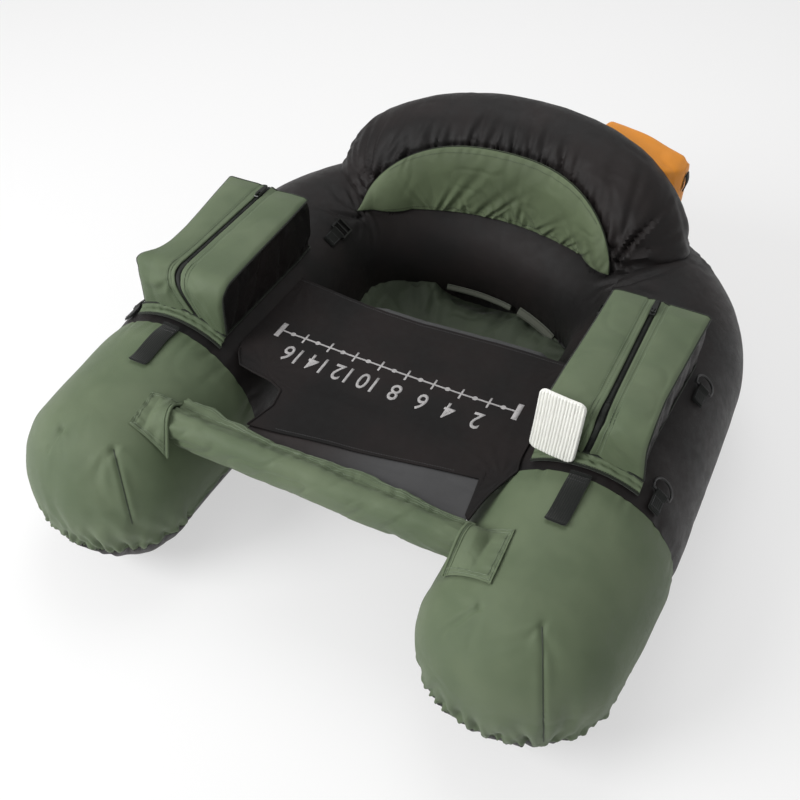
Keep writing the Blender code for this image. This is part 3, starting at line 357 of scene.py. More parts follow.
FINISHES = {
    "green": woven("green_nylon", GREEN, GREEN_DEEP),
    "black": woven("black_nylon", BLACK_WARM, BLACK, roughness=0.50, sheen=0.03, specular=0.24),
    "panel": woven("panel_nylon", PANEL_GREEN, deeper(PANEL_GREEN, 0.72)),
    # Seat cloth: green nylon with painted shade
    "seat": woven("seat_nylon_painted_shade", SEAT_GREEN_PAINTED_SHADE, deeper(SEAT_GREEN_PAINTED_SHADE, 0.6)),
    "apron": woven("apron_nylon", BLACK_WARM, BLACK, roughness=0.66, sheen=0.03, specular=0.18),
    "orange": woven("orange_nylon", ORANGE, deeper(ORANGE, 0.84), roughness=0.6),
    "grey": woven("grey_cloth", HEM_GREY_AND_WEDGE_HIGHLIGHT, deeper(HEM_GREY_AND_WEDGE_HIGHLIGHT, 0.75), pitch=COARSE_PITCH),
    # Wedge: black cloth with a painted highlight, grey towards its right end
    "wedge": woven("wedge_painted_light_cloth", HEM_GREY_AND_WEDGE_HIGHLIGHT, deeper(HEM_GREY_AND_WEDGE_HIGHLIGHT, 0.75), pitch=COARSE_PITCH,
                   painted_light_from=(-0.07, 0.10)),
    "tape": ribbed("zip_tape", ZIP_BLACK, 0.5, roughness=0.9),
    "webbing": ribbed("black_webbing", WEBBING_BLACK, 0.5),
    "grey_webbing": ribbed("grey_webbing", WEBBING_GREY, 0.6),
    "piping": ribbed("dark_binding", PIPING_DARK, 0.6, BINDING_PITCH),
    "green_binding": ribbed("green_binding", GREEN_DEEP, 0.6, BINDING_PITCH),
    "green_thread": plain("green_thread", THREAD_GREEN, 0.6, grain=900),
    "dark_thread": plain("dark_thread", THREAD_DARK, 0.6, grain=900),
    "black_thread": plain("black_thread", THREAD_BLACK, 0.6, grain=900),
    "fleece": fleecy("white_fleece", FLEECE_WHITE),
    "print": printed("ruler_print", PRINT_GREY),
    "plastic": plain("black_plastic", PLASTIC_BLACK, 0.34, coat=0.25),
    "zip_metal": plain("black_lacquer", LACQUER_BLACK, 0.32, metallic=0.6, coat=0.3),
    "teeth": plain("zip_teeth", TEETH_BLACK, 0.72),
    "aluminium": plain("drawn_aluminium", ALUMINIUM_GREY, 0.34, metallic=1),
}


# Point fields

def drift(points, size, seed=0):
    """Smooth field over space from -1 to 1, its bumps about one size apart."""
    scaled = np.asarray(points, float) / size + seed * 17.31
    base = np.floor(scaled).astype(np.int64)
    share = scaled - base
    share = share * share * (3 - 2 * share)
    total = np.zeros(scaled.shape[:-1])
    for corner in np.ndindex(2, 2, 2):
        cell = base + np.array(corner)
        mixed = cell[..., 0] * 73856093 ^ cell[..., 1] * 19349663 ^ cell[..., 2] * 83492791
        mixed = (mixed ^ mixed >> 13) * 1274126177
        value = (mixed >> 7 & 65535) / 32767.5 - 1
        total += value * np.prod(np.where(corner, share, 1 - share), axis=-1)
    return total


def creases(points, size, seed=0):
    """Field of narrow valleys, from -1 in a valley to 0 between them."""
    return np.minimum(np.abs(drift(points, size, seed)) * 3, 1) - 1


def gathers(along, rise, spots):
    """Pleats that start at a seam: along is the place on the seam, rise the distance from it.

    Each spot is (place, depth, width, length, slant).
    """
    total = np.zeros(np.broadcast(along, rise).shape)
    for place, depth, width, length, slant in spots:
        fade = np.exp(-(np.maximum(rise, 0) / length) ** 1.4)
        off = (along - place - slant * rise) / (width * (1 + 0.5 * np.maximum(rise, 0) / length))
        valley = np.exp(-off ** 2)
        shoulder = np.exp(-(np.abs(off) - 1.9) ** 2 / 0.8)
        total += depth * fade * (0.5 * shoulder - valley)
    return total


def pleat_spots(start, end, pitch, depth, width, length, seed, slant=0.25):
    """Irregular row of pleats along a seam."""
    dice = random.Random(seed)
    spots = []
    place = start + pitch * dice.random()
    while place < end:
        size = dice.uniform(0.45, 1.25)
        spots.append((place, depth * size, width * dice.uniform(0.7, 1.3), length * dice.uniform(0.5, 1.4),
                      slant * dice.uniform(-1, 1)))
        place += pitch * dice.uniform(0.55, 1.5)
    return spots


def fan(points, root, first, last, count, reach, depth, seed, width=0.0055):
    """Folds that spread from one point, from a first direction to a last, valleys with soft shoulders."""
    dice = random.Random(seed)
    away = points - np.array(root)
    total = np.zeros(points.shape[:-1])
    first = np.array(first, float)
    last = np.array(last, float)
    axis = unit(np.cross(first, last))
    for step in range(count):
        share = (step + dice.uniform(-0.3, 0.3)) / max(count - 1, 1)
        way = unit(first * (1 - share) + last * share)
        across = np.cross(axis, way)
        along = away @ way
        bend = dice.uniform(-0.9, 0.9) * along * along / reach
        off = away @ across - bend
        spread = width * dice.uniform(0.7, 1.3) * (0.6 + 1.3 * np.clip(along / reach, 0, 1))
        far = reach * dice.uniform(0.55, 1.15)
        fade = np.clip(along / 0.006, 0, 1) * np.clip(1 - along / far, 0, 1) ** 0.8
        size = depth * dice.uniform(0.5, 1.2)
        valley = np.exp(-(off / spread) ** 2)
        shoulder = np.exp(-((np.abs(off) - 1.9 * spread) / spread) ** 2)
        total += size * fade * (0.55 * shoulder - valley)
    return total


def unit(vectors):
    return vectors / np.maximum(np.linalg.norm(vectors, axis=-1, keepdims=True), 1e-12)


def normals_of(grid, wrap):
    """Unit normals of a grid of points, whose columns may run round."""
    if wrap:
        across = np.roll(grid, -1, 1) - np.roll(grid, 1, 1)
    else:
        across = np.gradient(grid, axis=1)
    along = np.gradient(grid, axis=0)
    return unit(np.cross(across, along))


def outer_normals(grid, middle):
    """Unit normals of a ring grid, turned away from a middle point."""
    normal = normals_of(grid, True)
    return normal * np.sign((normal * (grid - middle)).sum(-1).mean())


def border(grid):
    """Points round the edge of a grid."""
    return np.concatenate([grid[0], grid[1:, -1], grid[-1, -2::-1], grid[-2:0:-1, 0]])


def smoothed(values):
    """Values with each inner one drawn towards its neighbours."""
    values[1:-1] = (values[:-2] + 2 * values[1:-1] + values[2:]) / 4
    return values


def table_at(table, value):
    return np.interp(value, *zip(*table))


def reach_along(path):
    """Distance along a path from its start to each of its points."""
    return np.concatenate([[0], np.cumsum(np.linalg.norm(np.diff(path, axis=0), axis=1))])


def evenly(path, pitch, count=None):
    """Points a pitch apart along a path, with the ends kept."""
    path = np.asarray(path, float)
    reach = reach_along(path)
    count = count or max(int(round(reach[-1] / pitch)), 1) + 1
    places = np.linspace(0, reach[-1], count)
    return np.stack([np.interp(places, reach, path[:, axis]) for axis in range(path.shape[1])], 1)


def smooth_path(points, count):
    """Curve near a few points, made by cutting their corners four times."""
    path = np.asarray(points, float)
    for _ in range(4):
        first = path[:-1] * 0.75 + path[1:] * 0.25
        second = path[:-1] * 0.25 + path[1:] * 0.75
        middle = np.stack([first, second], 1).reshape(-1, path.shape[1])
        path = np.concatenate([path[:1], middle, path[-1:]])
    return evenly(path, 1, count)


# Tube geometry

def leg_x_at(y):
    """Distance of a leg's or nose's centre line from the middle, at a place along it."""
    share = np.maximum(SEAM_Y - np.asarray(y, float), 0) / (SEAM_Y - TIP_Y)
    return LEG_X - NOSE_TOE_IN * share * share


def tube_radius_at(y):
    """Radius of a leg or nose at a place along it."""
    y = np.asarray(y, float)
    draw = SEAM_DRAW * np.exp(-((y - SEAM_Y) / SEAM_DRAW_WIDTH) ** 2)
    share = np.clip((y - NOSE_Y) / (SEAM_Y - NOSE_Y), 0, 1)
    body = NOSE_RADIUS + (TUBE_RADIUS - NOSE_RADIUS) * share - draw
    forward = np.clip((NOSE_Y - y) / NOSE_LENGTH, 0, 1)
    return np.where(y < NOSE_Y, NOSE_RADIUS * np.sqrt(np.maximum(1 - forward ** 2, 1e-9)), body)


def bend_at(angles):
    """Centre line of the stern bend and its outward directions, at angles round it."""
    centre = np.stack([LEG_X * np.cos(angles), BEND_Y + BEND_DEPTH * np.sin(angles)], 1)
    outward = unit(np.stack([BEND_DEPTH * np.cos(angles), LEG_X * np.sin(angles)], 1))
    return centre, outward


def spine_line(pitch):
    """Centre line of the black tube from the left seam round the stern to the right seam."""
    bend, _ = bend_at(np.linspace(math.pi, 0, 400))
    line = evenly(np.concatenate([[(-LEG_X, SEAM_Y)], bend, [(LEG_X, SEAM_Y)]]), pitch)
    tangent = unit(np.gradient(line, axis=0))
    outward = np.stack([-tangent[:, 1], tangent[:, 0]], 1)
    return line, outward


SPINE = spine_line(0.004)[0]
BLOCK = 20000


def nearest_spine(points):
    """Nearest places on the centre line of the black tube, for points beside it."""
    flat = points[..., :2].reshape(-1, 2)
    centre = np.zeros_like(flat)
    for start in range(0, len(flat), BLOCK):
        part = flat[start:start + BLOCK]
        gap = ((part[:, None] - SPINE[None]) ** 2).sum(-1)
        near = np.clip(gap.argmin(1), 1, len(SPINE) - 2)
        step = SPINE[near + 1] - SPINE[near - 1]
        share = ((part - SPINE[near - 1]) * step).sum(-1) / (step ** 2).sum(-1)
        centre[start:start + BLOCK] = SPINE[near - 1] + step * share[:, None]
    return centre.reshape(*points.shape[:-1], 2)


def on_tube(points, lift, push_only=False):
    """Points moved square to the tube's surface, to a height above it."""
    points = np.array(points, float)
    lift = np.broadcast_to(lift, points.shape[:-1])
    centre = nearest_spine(points)
    ahead = points[..., 1] < SEAM_Y
    nose_x = np.sign(points[..., 0]) * leg_x_at(points[..., 1])
    centre[..., 0] = np.where(ahead, nose_x, centre[..., 0])
    centre[..., 1] = np.where(ahead, points[..., 1], centre[..., 1])
    radius = np.where(ahead, tube_radius_at(points[..., 1]), TUBE_RADIUS)
    middle = np.concatenate([centre, np.full((*centre.shape[:-1], 1), TUBE_Z)], -1)
    away = points - middle
    distance = np.linalg.norm(away, axis=-1)
    wanted = radius + lift
    if push_only:
        wanted = np.maximum(distance, wanted)
    return middle + unit(away) * wanted[..., None]


def tube_normal(points):
    return unit(on_tube(points, 0.02) - on_tube(points, 0))


# Pieces

class Piece:
    """Collects the grids, bands, rolls and stitches of one piece, then makes its mesh."""

    def __init__(self, name):
        self.name = name
        self.points = []
        self.count = 0
        self.corners = []
        self.maps = []
        self.sizes = []
        self.marks = []

    def add(self, points, faces, maps, mark):
        """Faces are arrays of corner numbers; maps give each corner's place on the cloth."""
        self.points.append(np.asarray(points, float).reshape(-1, 3))
        self.corners.append(np.asarray(faces).reshape(-1) + self.count)
        self.maps.append(np.asarray(maps, float).reshape(-1, 2))
        self.sizes.append(np.full(len(faces), faces.shape[1]))
        self.marks.append(np.full(len(faces), mark))
        self.count += len(self.points[-1])

    def grid(self, points, wrap=False, mark=0):
        """Faces over a grid of points, whose columns may run round; its map is the laid-out cloth."""
        rows, columns = points.shape[:2]
        index = np.arange(rows * columns).reshape(rows, columns)
        ring = np.concatenate([points, points[:, :1]], 1) if wrap else points
        index = np.concatenate([index, index[:, :1]], 1) if wrap else index
        across = np.linalg.norm(np.diff(ring, axis=1), axis=2).max(0)
        along = np.linalg.norm(np.diff(ring, axis=0), axis=2).max(1)
        u = np.concatenate([[0], np.cumsum(across)])
        v = np.concatenate([[0], np.cumsum(along)])
        place = np.stack(np.meshgrid(u, v), -1)

        def patches(values):
            return np.stack([values[:-1, :-1], values[:-1, 1:], values[1:, 1:], values[1:, :-1]], 2)

        faces = patches(index).reshape(-1, 4)
        self.add(points, faces, patches(place).reshape(-1, 2), mark)

    def cap(self, ring, mark=0):
        """Close a ring of points with a fan round its middle."""
        count = len(ring)
        index = np.arange(count)
        faces = np.stack([index, (index + 1) % count, np.full(count, count)], 1)
        flat = np.concatenate([ring, ring.mean(0)[None]])
        self.add(flat, faces, flat[faces.reshape(-1)][:, :2], mark)

    def tube(self, grid, mark=0):
        """Ring grid closed at both ends."""
        self.grid(grid, wrap=True, mark=mark)
        self.cap(grid[0], mark)
        self.cap(grid[-1], mark)

    def slab(self, top, thickness, down=None):
        """Thick sheet under a grid of points; one extra row rounds its edge."""
        if down is None:
            normal = normals_of(top, False)
            down = -normal * np.sign(normal[..., 2].mean())
        under = top + down * thickness
        self.grid(top)
        self.grid(under)
        middle = (border(top) + border(under)) / 2
        swell = np.linalg.norm(border(top) - border(under), axis=1, keepdims=True) * 0.22
        middle = middle + unit(middle - top.reshape(-1, 3).mean(0)) * swell
        self.grid(np.stack([border(top), middle, border(under)]), wrap=True)

    def roll(self, path, radius, sides, mark=0, closed=False, flat=1.0, normals=(0, 0, 1)):
        """Round or flattened cord along a path; normals say which way its flat side faces."""
        if closed:
            tangent = unit(np.roll(path, -1, 0) - np.roll(path, 1, 0))
        else:
            tangent = unit(np.gradient(path, axis=0))
        side = unit(np.cross(tangent, normals))
        up = unit(np.cross(side, tangent))
        angles = 2 * math.pi * (np.arange(sides) + 0.5) / sides
        grid = (path[:, None]
                + side[:, None] * (np.cos(angles)[None, :, None] * radius)
                + up[:, None] * (np.sin(angles)[None, :, None] * radius * flat))
        if closed:
            self.grid(np.concatenate([grid, grid[:1]]), wrap=True, mark=mark)
        else:
            self.tube(grid, mark)

    def band(self, path, normals, width, thickness):
        """Flat webbing whose middle line follows a path; normals say which way it faces."""
        tangent = unit(np.gradient(path, axis=0))
        side = unit(np.cross(tangent, normals))
        up = unit(np.cross(side, tangent))
        outline = ((-0.5, -0.2), (-0.5, 0.2), (-0.44, 0.5), (0.44, 0.5), (0.5, 0.2), (0.5, -0.2),
                   (0.44, -0.5), (-0.44, -0.5))
        grid = np.stack([path + side * width * a + up * thickness * b for a, b in outline], 1)
        ends = []
        for row, way in ((0, -tangent[0]), (-1, tangent[-1])):
            centre = grid[row].mean(0)
            ends.append((grid[row] - centre) * 0.8 + centre + way * (thickness * 0.45))
        self.tube(np.concatenate([ends[:1], grid, ends[1:]]))

    def stitches(self, path, normals, mark=1, pitch=0.0042, length=0.0030, width=0.00065):
        """Row of thread dashes that lie on the cloth."""
        normals = np.broadcast_to(np.asarray(normals, float), path.shape)
        joined = evenly(np.concatenate([path, normals], 1), pitch)
        places = joined[:, :3]
        up = unit(joined[:, 3:])
        tangent = unit(np.gradient(places, axis=0))
        side = unit(np.cross(tangent, up))
        up = np.cross(side, tangent)
        shape = ((-1, 0, -0.9), (-0.55, 0.9, 0), (-0.55, 0, 0.75), (-0.55, -0.9, 0),
                 (0.55, 0.9, 0), (0.55, 0, 0.75), (0.55, -0.9, 0), (1, 0, -0.9))
        faces = np.array([(0, 2, 1), (0, 3, 2), (0, 1, 3), (7, 4, 5), (7, 5, 6), (7, 6, 4),
                          (1, 2, 5), (1, 5, 4), (2, 3, 6), (2, 6, 5), (3, 1, 4), (3, 4, 6)])
        points = np.stack([places + tangent * length / 2 * a + side * width * b + up * width * (c + 0.25)
                           for a, b, c in shape], 1)
        index = (faces[None] + len(shape) * np.arange(len(places))[:, None, None]).reshape(-1, 3)
        self.add(points, index, np.zeros((len(index) * 3, 2)), mark)

    def make(self, finishes, body, stands_for=(), sharp=50):
        """Mesh, materials and ride of the finished piece."""
        points = np.concatenate(self.points)
        corners = np.concatenate(self.corners).astype(np.int32)
        sizes = np.concatenate(self.sizes).astype(np.int32)
        mesh = bpy.data.meshes.new(self.name)
        mesh.vertices.add(len(points))
        mesh.vertices.foreach_set("co", points.astype(np.float32).ravel())
        mesh.loops.add(len(corners))
        mesh.loops.foreach_set("vertex_index", corners)
        mesh.polygons.add(len(sizes))
        mesh.polygons.foreach_set("loop_start", np.concatenate([[0], np.cumsum(sizes)[:-1]]).astype(np.int32))
        mesh.polygons.foreach_set("material_index", np.concatenate(self.marks).astype(np.int32))
        layer = mesh.uv_layers.new(name="cloth")
        layer.data.foreach_set("uv", np.concatenate(self.maps).astype(np.float32).ravel())
        mesh.update(calc_edges=True)
        mesh.validate()
        shape = bmesh.new()
        shape.from_mesh(mesh)
        bmesh.ops.remove_doubles(shape, verts=shape.verts, dist=1e-6)
        bmesh.ops.recalc_face_normals(shape, faces=shape.faces)
        shape.to_mesh(mesh)
        shape.free()
        for finish in finishes:
            mesh.materials.append(FINISHES[finish])
        mesh.shade_smooth()
        mesh.set_sharp_from_angle(angle=math.radians(sharp))
        item = bpy.data.objects.new(self.name, mesh)
        bpy.context.scene.collection.objects.link(item)
        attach(item, body)
        if stands_for:
            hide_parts(*stands_for)
        return item


ROOT = "float_tube"
SIDES = ((-1, "left"), (1, "right"))
REAR = np.array((0, 1.0, 0))
UP = np.array((0, 0, 1.0))


def refinish(node, finish):
    """Give a solid that keeps its shape its material."""
    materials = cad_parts[node].data.materials
    materials.clear()
    materials.append(FINISHES[finish])


# Fans of folds where the arch's heels and the crescent's tips pull at the cloth, on the right side:
# root, first and last direction, count, reach, depth and seed
TUBE_PULLS = (
    ((0.262, 0.214, 0.312), (0.5, -0.85, -0.1), (0.9, 0.45, 0), 7, 0.11, 0.0042, 60),
    ((0.262, 0.214, 0.312), (-0.2, -0.3, -1), (-1, 0.5, -0.5), 5, 0.09, 0.0030, 63),
    ((0.392, 0.394, 0.289), (1, -0.1, -0.25), (0.15, 1, -0.5), 5, 0.08, 0.0032, 66),
)
ARCH_TIP_PULLS = (
    ((0.262, 0.214, 0.322), (0.05, 0, 1), (1, 0.1, 0.02), 9, 0.16, 0.0062, 50),
    ((0.262, 0.214, 0.322), (0.5, -0.1, 0.8), (1, 0.3, 0.35), 5, 0.07, 0.0050, 53),
)
ARCH_HEEL_PULLS = (
    ((0.392, 0.394, 0.300), (-0.9, -0.8, 0.35), (-0.1, -0.3, 1), 5, 0.11, 0.0040, 56),
)


def pulls_on(grid, side, rows):
    """Lift of each fan in a table, mirrored for the left side."""
    mirror = np.array((side, 1, 1))
    for root, first, last, count, reach, depth, seed in rows:
        yield fan(grid, mirror * root, mirror * first, mirror * last, count, reach, depth, seed + side)


# Tube and noses

def build_tube():
    """Black cover of both legs and the stern bend."""
    line, outward = spine_line(0.005)
    place = np.arange(len(line)) * np.linalg.norm(line[1] - line[0])
    angles = np.linspace(0, 2 * math.pi, 216, endpoint=False)
    end_gap = np.minimum(place, place[-1] - place)
    draw = SEAM_DRAW * np.exp(-(end_gap / SEAM_DRAW_WIDTH) ** 2)
    grid = np.zeros((len(line), len(angles), 3))
    radius = TUBE_RADIUS - draw[:, None] + np.zeros(len(angles))
    grid[..., :2] = line[:, None] + outward[:, None] * (radius * np.cos(angles))[..., None]
    grid[..., 2] = TUBE_Z + radius * np.sin(angles)

    soft = drift(grid, 0.16, 3) * 0.0016 + drift(grid, 0.06, 4) * 0.0007 - 0.0014
    ripple = creases(grid * np.array([1, 1, 0.4]), 0.07, 5) * 0.0007
    low_seam = np.zeros_like(radius)
    for seam_angle, seed in ((math.radians(-18), 21), (math.radians(-162), 22)):
        turn = np.arctan2(np.sin(angles - seam_angle), np.cos(angles - seam_angle))
        off = np.abs(turn) * TUBE_RADIUS
        low_seam -= 0.0022 * np.exp(-(off / 0.0035) ** 2)
        spots = pleat_spots(0, place[-1], 0.03, 0.0022, 0.005, 0.022, seed)
        low_seam += gathers(place[:, None], off[None], spots)
    spots = pleat_spots(0, 2 * math.pi * TUBE_RADIUS, 0.045, 0.0014, 0.006, 0.03, 32)
    at_seam = gathers(angles[None] * TUBE_RADIUS, end_gap[:, None], spots)
    pulls = np.zeros_like(radius)
    for side in (-1, 1):
        near = (grid[..., 0] * side > 0) & (grid[..., 2] > TUBE_Z - 0.06)
        for lift in pulls_on(grid, side, TUBE_PULLS):
            pulls += lift * near
    lift = soft + ripple + low_seam + at_seam + pulls
    normal = np.zeros_like(grid)
    normal[..., :2] = outward[:, None] * np.cos(angles)[None, :, None]
    normal[..., 2] = np.sin(angles)
    grid += normal * np.clip(lift, -0.009, 0.0015)[..., None]
    grid[..., 2] = np.maximum(grid[..., 2], FLOOR_GAP)
    piece = Piece("tube_cloth")
    piece.tube(grid)
    piece.make(["black"], ROOT, ["hull_cover"])


# Darts of each nose: first and last point, and share of the full depth
NOSE_DARTS = {
    1: (((0.4108, -0.5239, 0.3070), (0.4549, -0.5915, 0.1568), 1.0),
        ((0.3235, -0.5305, 0.3010), (0.2845, -0.5629, 0.2548), 0.85)),
    -1: (((-0.3054, -0.5247, 0.2958), (-0.2576, -0.5726, 0.1954), 1.0),
         ((-0.3978, -0.5335, 0.3054), (-0.4075, -0.5650, 0.2795), 0.75)),
}


def nose_grid(side):
    """Smooth grid of one nose, in rings from the green seam to the tip."""
    turns = np.linspace(0, math.pi / 2 - 0.02, 62)[1:]
    rows = np.concatenate([np.linspace(SEAM_Y, NOSE_Y, 44), NOSE_Y - NOSE_LENGTH * np.sin(turns)])
    angles = np.linspace(0, 2 * math.pi, 384, endpoint=False)
    radius = tube_radius_at(rows)[:, None] + np.zeros(len(angles))
    grid = np.zeros((len(rows), len(angles), 3))
    grid[..., 0] = side * (leg_x_at(rows)[:, None] + radius * np.cos(angles))
    grid[..., 1] = rows[:, None]
    grid[..., 2] = TUBE_Z + radius * np.sin(angles)
    return grid


def nose_rim(grid, side, seed):
    """Pleats above and below the gathered rim of a nose, and the drawn thread between them."""
    flat = grid[..., :2] - np.array((side * leg_x_at(NOSE_Y), NOSE_Y))
    bearing = np.arctan2(side * flat[..., 0], -np.minimum(flat[..., 1], 0.02))
    along = np.clip(bearing, -1.6, 1.6) * 0.14 + np.sign(bearing) * np.maximum(flat[..., 1], 0)
    rise = (grid[..., 2] - RIM_Z) / 0.85
    front = np.clip((NOSE_Y + 0.05 - grid[..., 1]) / 0.05, 0, 1)
    above = rise > 0
    lift = np.zeros(rise.shape)
    for reach, pitch, depth, width, length, step, slant, share in (
            (0.23, 0.020, 0.0088, 0.0046, 0.030, 0, 0.4, front * above),
            (0.23, 0.038, 0.0036, 0.0080, 0.085, 4, 0.5, front * above),
            (0.50, 0.034, 0.0032, 0.0060, 0.022, 5, 0.3, (1 - front) * above)):
        spots = pleat_spots(-reach, reach, pitch, depth, width, length, seed + step, slant)
        lift += gathers(along, rise, spots) * share
    spots = pleat_spots(-0.23, 0.23, 0.020, 0.0060, 0.005, 0.03, seed, 0.2)
    lift += gathers(along, -rise, spots) * (rise <= 0)
    lift -= 0.0045 * np.exp(-(rise / 0.0030) ** 2)
    return lift + 0.0026 * np.exp(-((rise - 0.009) / 0.006) ** 2)


def nose_shape(side, seed):
    """Grid of one nose with its rim and darts, and the line of its long dart's seam."""
    grid = nose_grid(side)
    normal = outer_normals(grid, np.array((side * LEG_X, NOSE_Y, TUBE_Z)))
    lift = nose_rim(grid, side, seed)
    for first, last, share in NOSE_DARTS[side]:
        first = np.array(first)
        step = np.array(last) - first
        length = np.linalg.norm(step)
        t = ((grid - first) @ step) / length ** 2
        off = np.linalg.norm(grid - first - t[..., None] * step, axis=-1)
        side_off = (grid - first) @ unit(np.cross(step, first - np.array(CAMERA_PLACE)))
        inside = np.clip(t * 14, 0, 1) * np.clip((1.15 - t) * 7, 0, 1) * (off < 0.09)
        bulge = np.abs(side_off)
        lift -= share * 0.0022 * np.exp(-(bulge / 0.0026) ** 2) * inside
        lift += share * 0.0009 * np.exp(-((bulge - 0.008) / 0.005) ** 2) * inside
        lift -= share * 0.0034 * np.exp(-(np.linalg.norm(grid - first, axis=-1) / 0.0045) ** 2)
        way = step / length
        spread = np.array((0.9, 0, 0))
        folds = fan(grid, first, way + spread, way - spread, 6, 0.10, 0.0014 * share, seed + 7, 0.006)
        lift += folds * (off < 0.12)
        if share == 1:
            near = [np.exp(-(side_off / 0.0025) ** 2 - ((t - value) * length / 0.0025) ** 2) * (off < 0.09)
                    for value in np.linspace(0.01, 1.1, 50)]
    lift += drift(grid, 0.13, seed) * 0.0018 + drift(grid, 0.05, seed + 1) * 0.0007 - 0.001
    lift += creases(grid * np.array((1, 0.6, 1)), 0.06, seed + 2) * 0.0008
    turn = np.arctan2(grid[..., 2] - TUBE_Z, side * grid[..., 0] - leg_x_at(grid[..., 1]))
    spots = pleat_spots(-0.52, 0.52, 0.05, 0.0016, 0.006, 0.03, seed + 3)
    lift += gathers(turn * TUBE_RADIUS, SEAM_Y - grid[..., 1], spots)
    grid = grid + normal * np.clip(lift, -0.013, 0.004)[..., None]
    grid[..., 2] = np.maximum(grid[..., 2], FLOOR_GAP)
    seam = np.array([(grid * (weight / weight.sum())[..., None]).sum((0, 1)) for weight in near])
    return grid, seam


def build_noses():
    """Green nose covers; below the gathered rim their cloth is black."""
    for (side, label), seed in zip(SIDES, (11, 12)):
        piece = Piece(label + "_nose_cloth")
        grid, seam = nose_shape(side, seed)
        piece.tube(grid)
        outward = unit(seam - np.array((side * LEG_X, NOSE_Y, TUBE_Z)))
        piece.roll(seam + outward * 0.0002, 0.0008, 6, 2, normals=outward)
        item = piece.make(["green", "black", "dark_thread"], ROOT, [label + "_nose_cover"])
        for face in item.data.polygons:
            if face.material_index < 2:
                face.material_index = int(face.center.z < RIM_Z - 0.003)


# Backrest arch and crescent panel

def arch_plan_y(x):
    """How far back the arch's centre line lies, at places across."""
    return ARCH_BASE_Y + ARCH_LEAN * np.maximum(1 - (x / ARCH_HALF_SPAN) ** 2, 0) ** ARCH_PLAN_POWER


def arch_line(angle):
    """Centre line of the arch, from its left heel over the top to its right heel."""
    across = -np.sign(np.cos(angle)) * np.abs(np.cos(angle)) ** ARCH_ROUND_POWER
    x = ARCH_HALF_SPAN * across
    z = ARCH_BASE_HEIGHT + ARCH_RISE * np.sin(angle) ** ARCH_ROUND_POWER
    return np.stack([x, arch_plan_y(x), z], -1)


def crescent_edges(share):
    """Lower and upper edge heights of the crescent at a share of its half width."""
    low = PANEL_LOW + (PANEL_TIP - PANEL_LOW) * share ** 4
    high = PANEL_TIP + PANEL_RISE * np.maximum(1 - np.abs(share) ** PANEL_EDGE_POWER, 0) ** PANEL_EDGE_ROUND
    return low, high


def build_arch():
    """Backrest cover, gathered where it meets the crescent and pressed into the tube."""
    line = evenly(arch_line(np.linspace(0.02, math.pi - 0.02, 1200)), 0.0045)
    way = unit(np.gradient(line, axis=0))
    for _ in range(50):
        way[1:-1] = unit(way[:-2] + 2 * way[1:-1] + way[2:])
    front = unit(way * (way @ REAR)[:, None] - REAR)
    side = np.cross(way, front)
    share = np.sin(np.linspace(0, math.pi, len(line)))
    radius = ARCH_SIDE_RADIUS + (ARCH_TOP_RADIUS - ARCH_SIDE_RADIUS) * share
    angles = np.linspace(0, 2 * math.pi, 200, endpoint=False)
    normal = front[:, None] * np.cos(angles)[None, :, None] + side[:, None] * np.sin(angles)[None, :, None]
    grid = line[:, None] + normal * radius[:, None, None]

    across = (grid[..., 0] - PANEL_X) / PANEL_HALF_WIDTH
    above = grid[..., 2] - crescent_edges(np.clip(across, -1, 1))[1]
    facing = np.clip(-normal[..., 1] * 1.5, 0, 1)
    spots = pleat_spots(-0.27, 0.27, 0.012, 0.0042, 0.0030, 0.022, 41, 0.25)
    broad = pleat_spots(-0.27, 0.27, 0.030, 0.0030, 0.0070, 0.060, 47, 0.35)
    lift = gathers(grid[..., 0], np.maximum(above, 0), spots + broad) * facing
    lift -= 0.004 * np.exp(-(above / 0.006) ** 2) * facing
    for flank in (-1, 1):
        near = (grid[..., 0] * flank > 0) * np.clip(0.6 - normal[..., 1], 0, 1)
        for pull in pulls_on(grid, flank, ARCH_TIP_PULLS):
            lift += pull * near
        lift += sum(pulls_on(grid, flank, ARCH_HEEL_PULLS))
    lift += drift(grid, 0.15, 42) * 0.0026 + drift(grid, 0.055, 43) * 0.0010 - 0.002
    lift += creases(grid * np.array((1, 1, 0.5)), 0.07, 44) * 0.0012
    back_turn = np.arctan2(np.sin(angles - 2.6), np.cos(angles - 2.6)) * ARCH_TOP_RADIUS
    lift -= 0.002 * np.exp(-(back_turn / 0.003) ** 2)[None]
    shoulder = np.linalg.norm(grid - np.array((-0.335, 0.40, 0.385)), axis=-1)
    swell = 0.0115 * np.exp(-(shoulder / 0.085) ** 2)
    grid = grid + normal * (np.clip(lift, -0.013, 0.002) + swell)[..., None]
    grid = on_tube(grid, -ARCH_SINK, push_only=True)
    piece = Piece("backrest_cloth")
    piece.tube(grid)
    piece.make(["black"], ROOT, ["backrest_cover"])


# Reach given where a form is missing: well behind everything
FAR_BEHIND = 9


def arch_front(x, z):
    """How far forward the backrest reaches, at places across and up."""
    line = arch_line(np.linspace(0.05, math.pi - 0.05, 260))
    gap = (x[..., None] - line[:, 0]) ** 2 + (z[..., None] - line[:, 2]) ** 2
    reach = line[:, 1] - np.sqrt(np.maximum(ARCH_SIDE_RADIUS ** 2 - gap, 0))
    return np.where(gap < ARCH_SIDE_RADIUS ** 2, reach, FAR_BEHIND).min(-1)


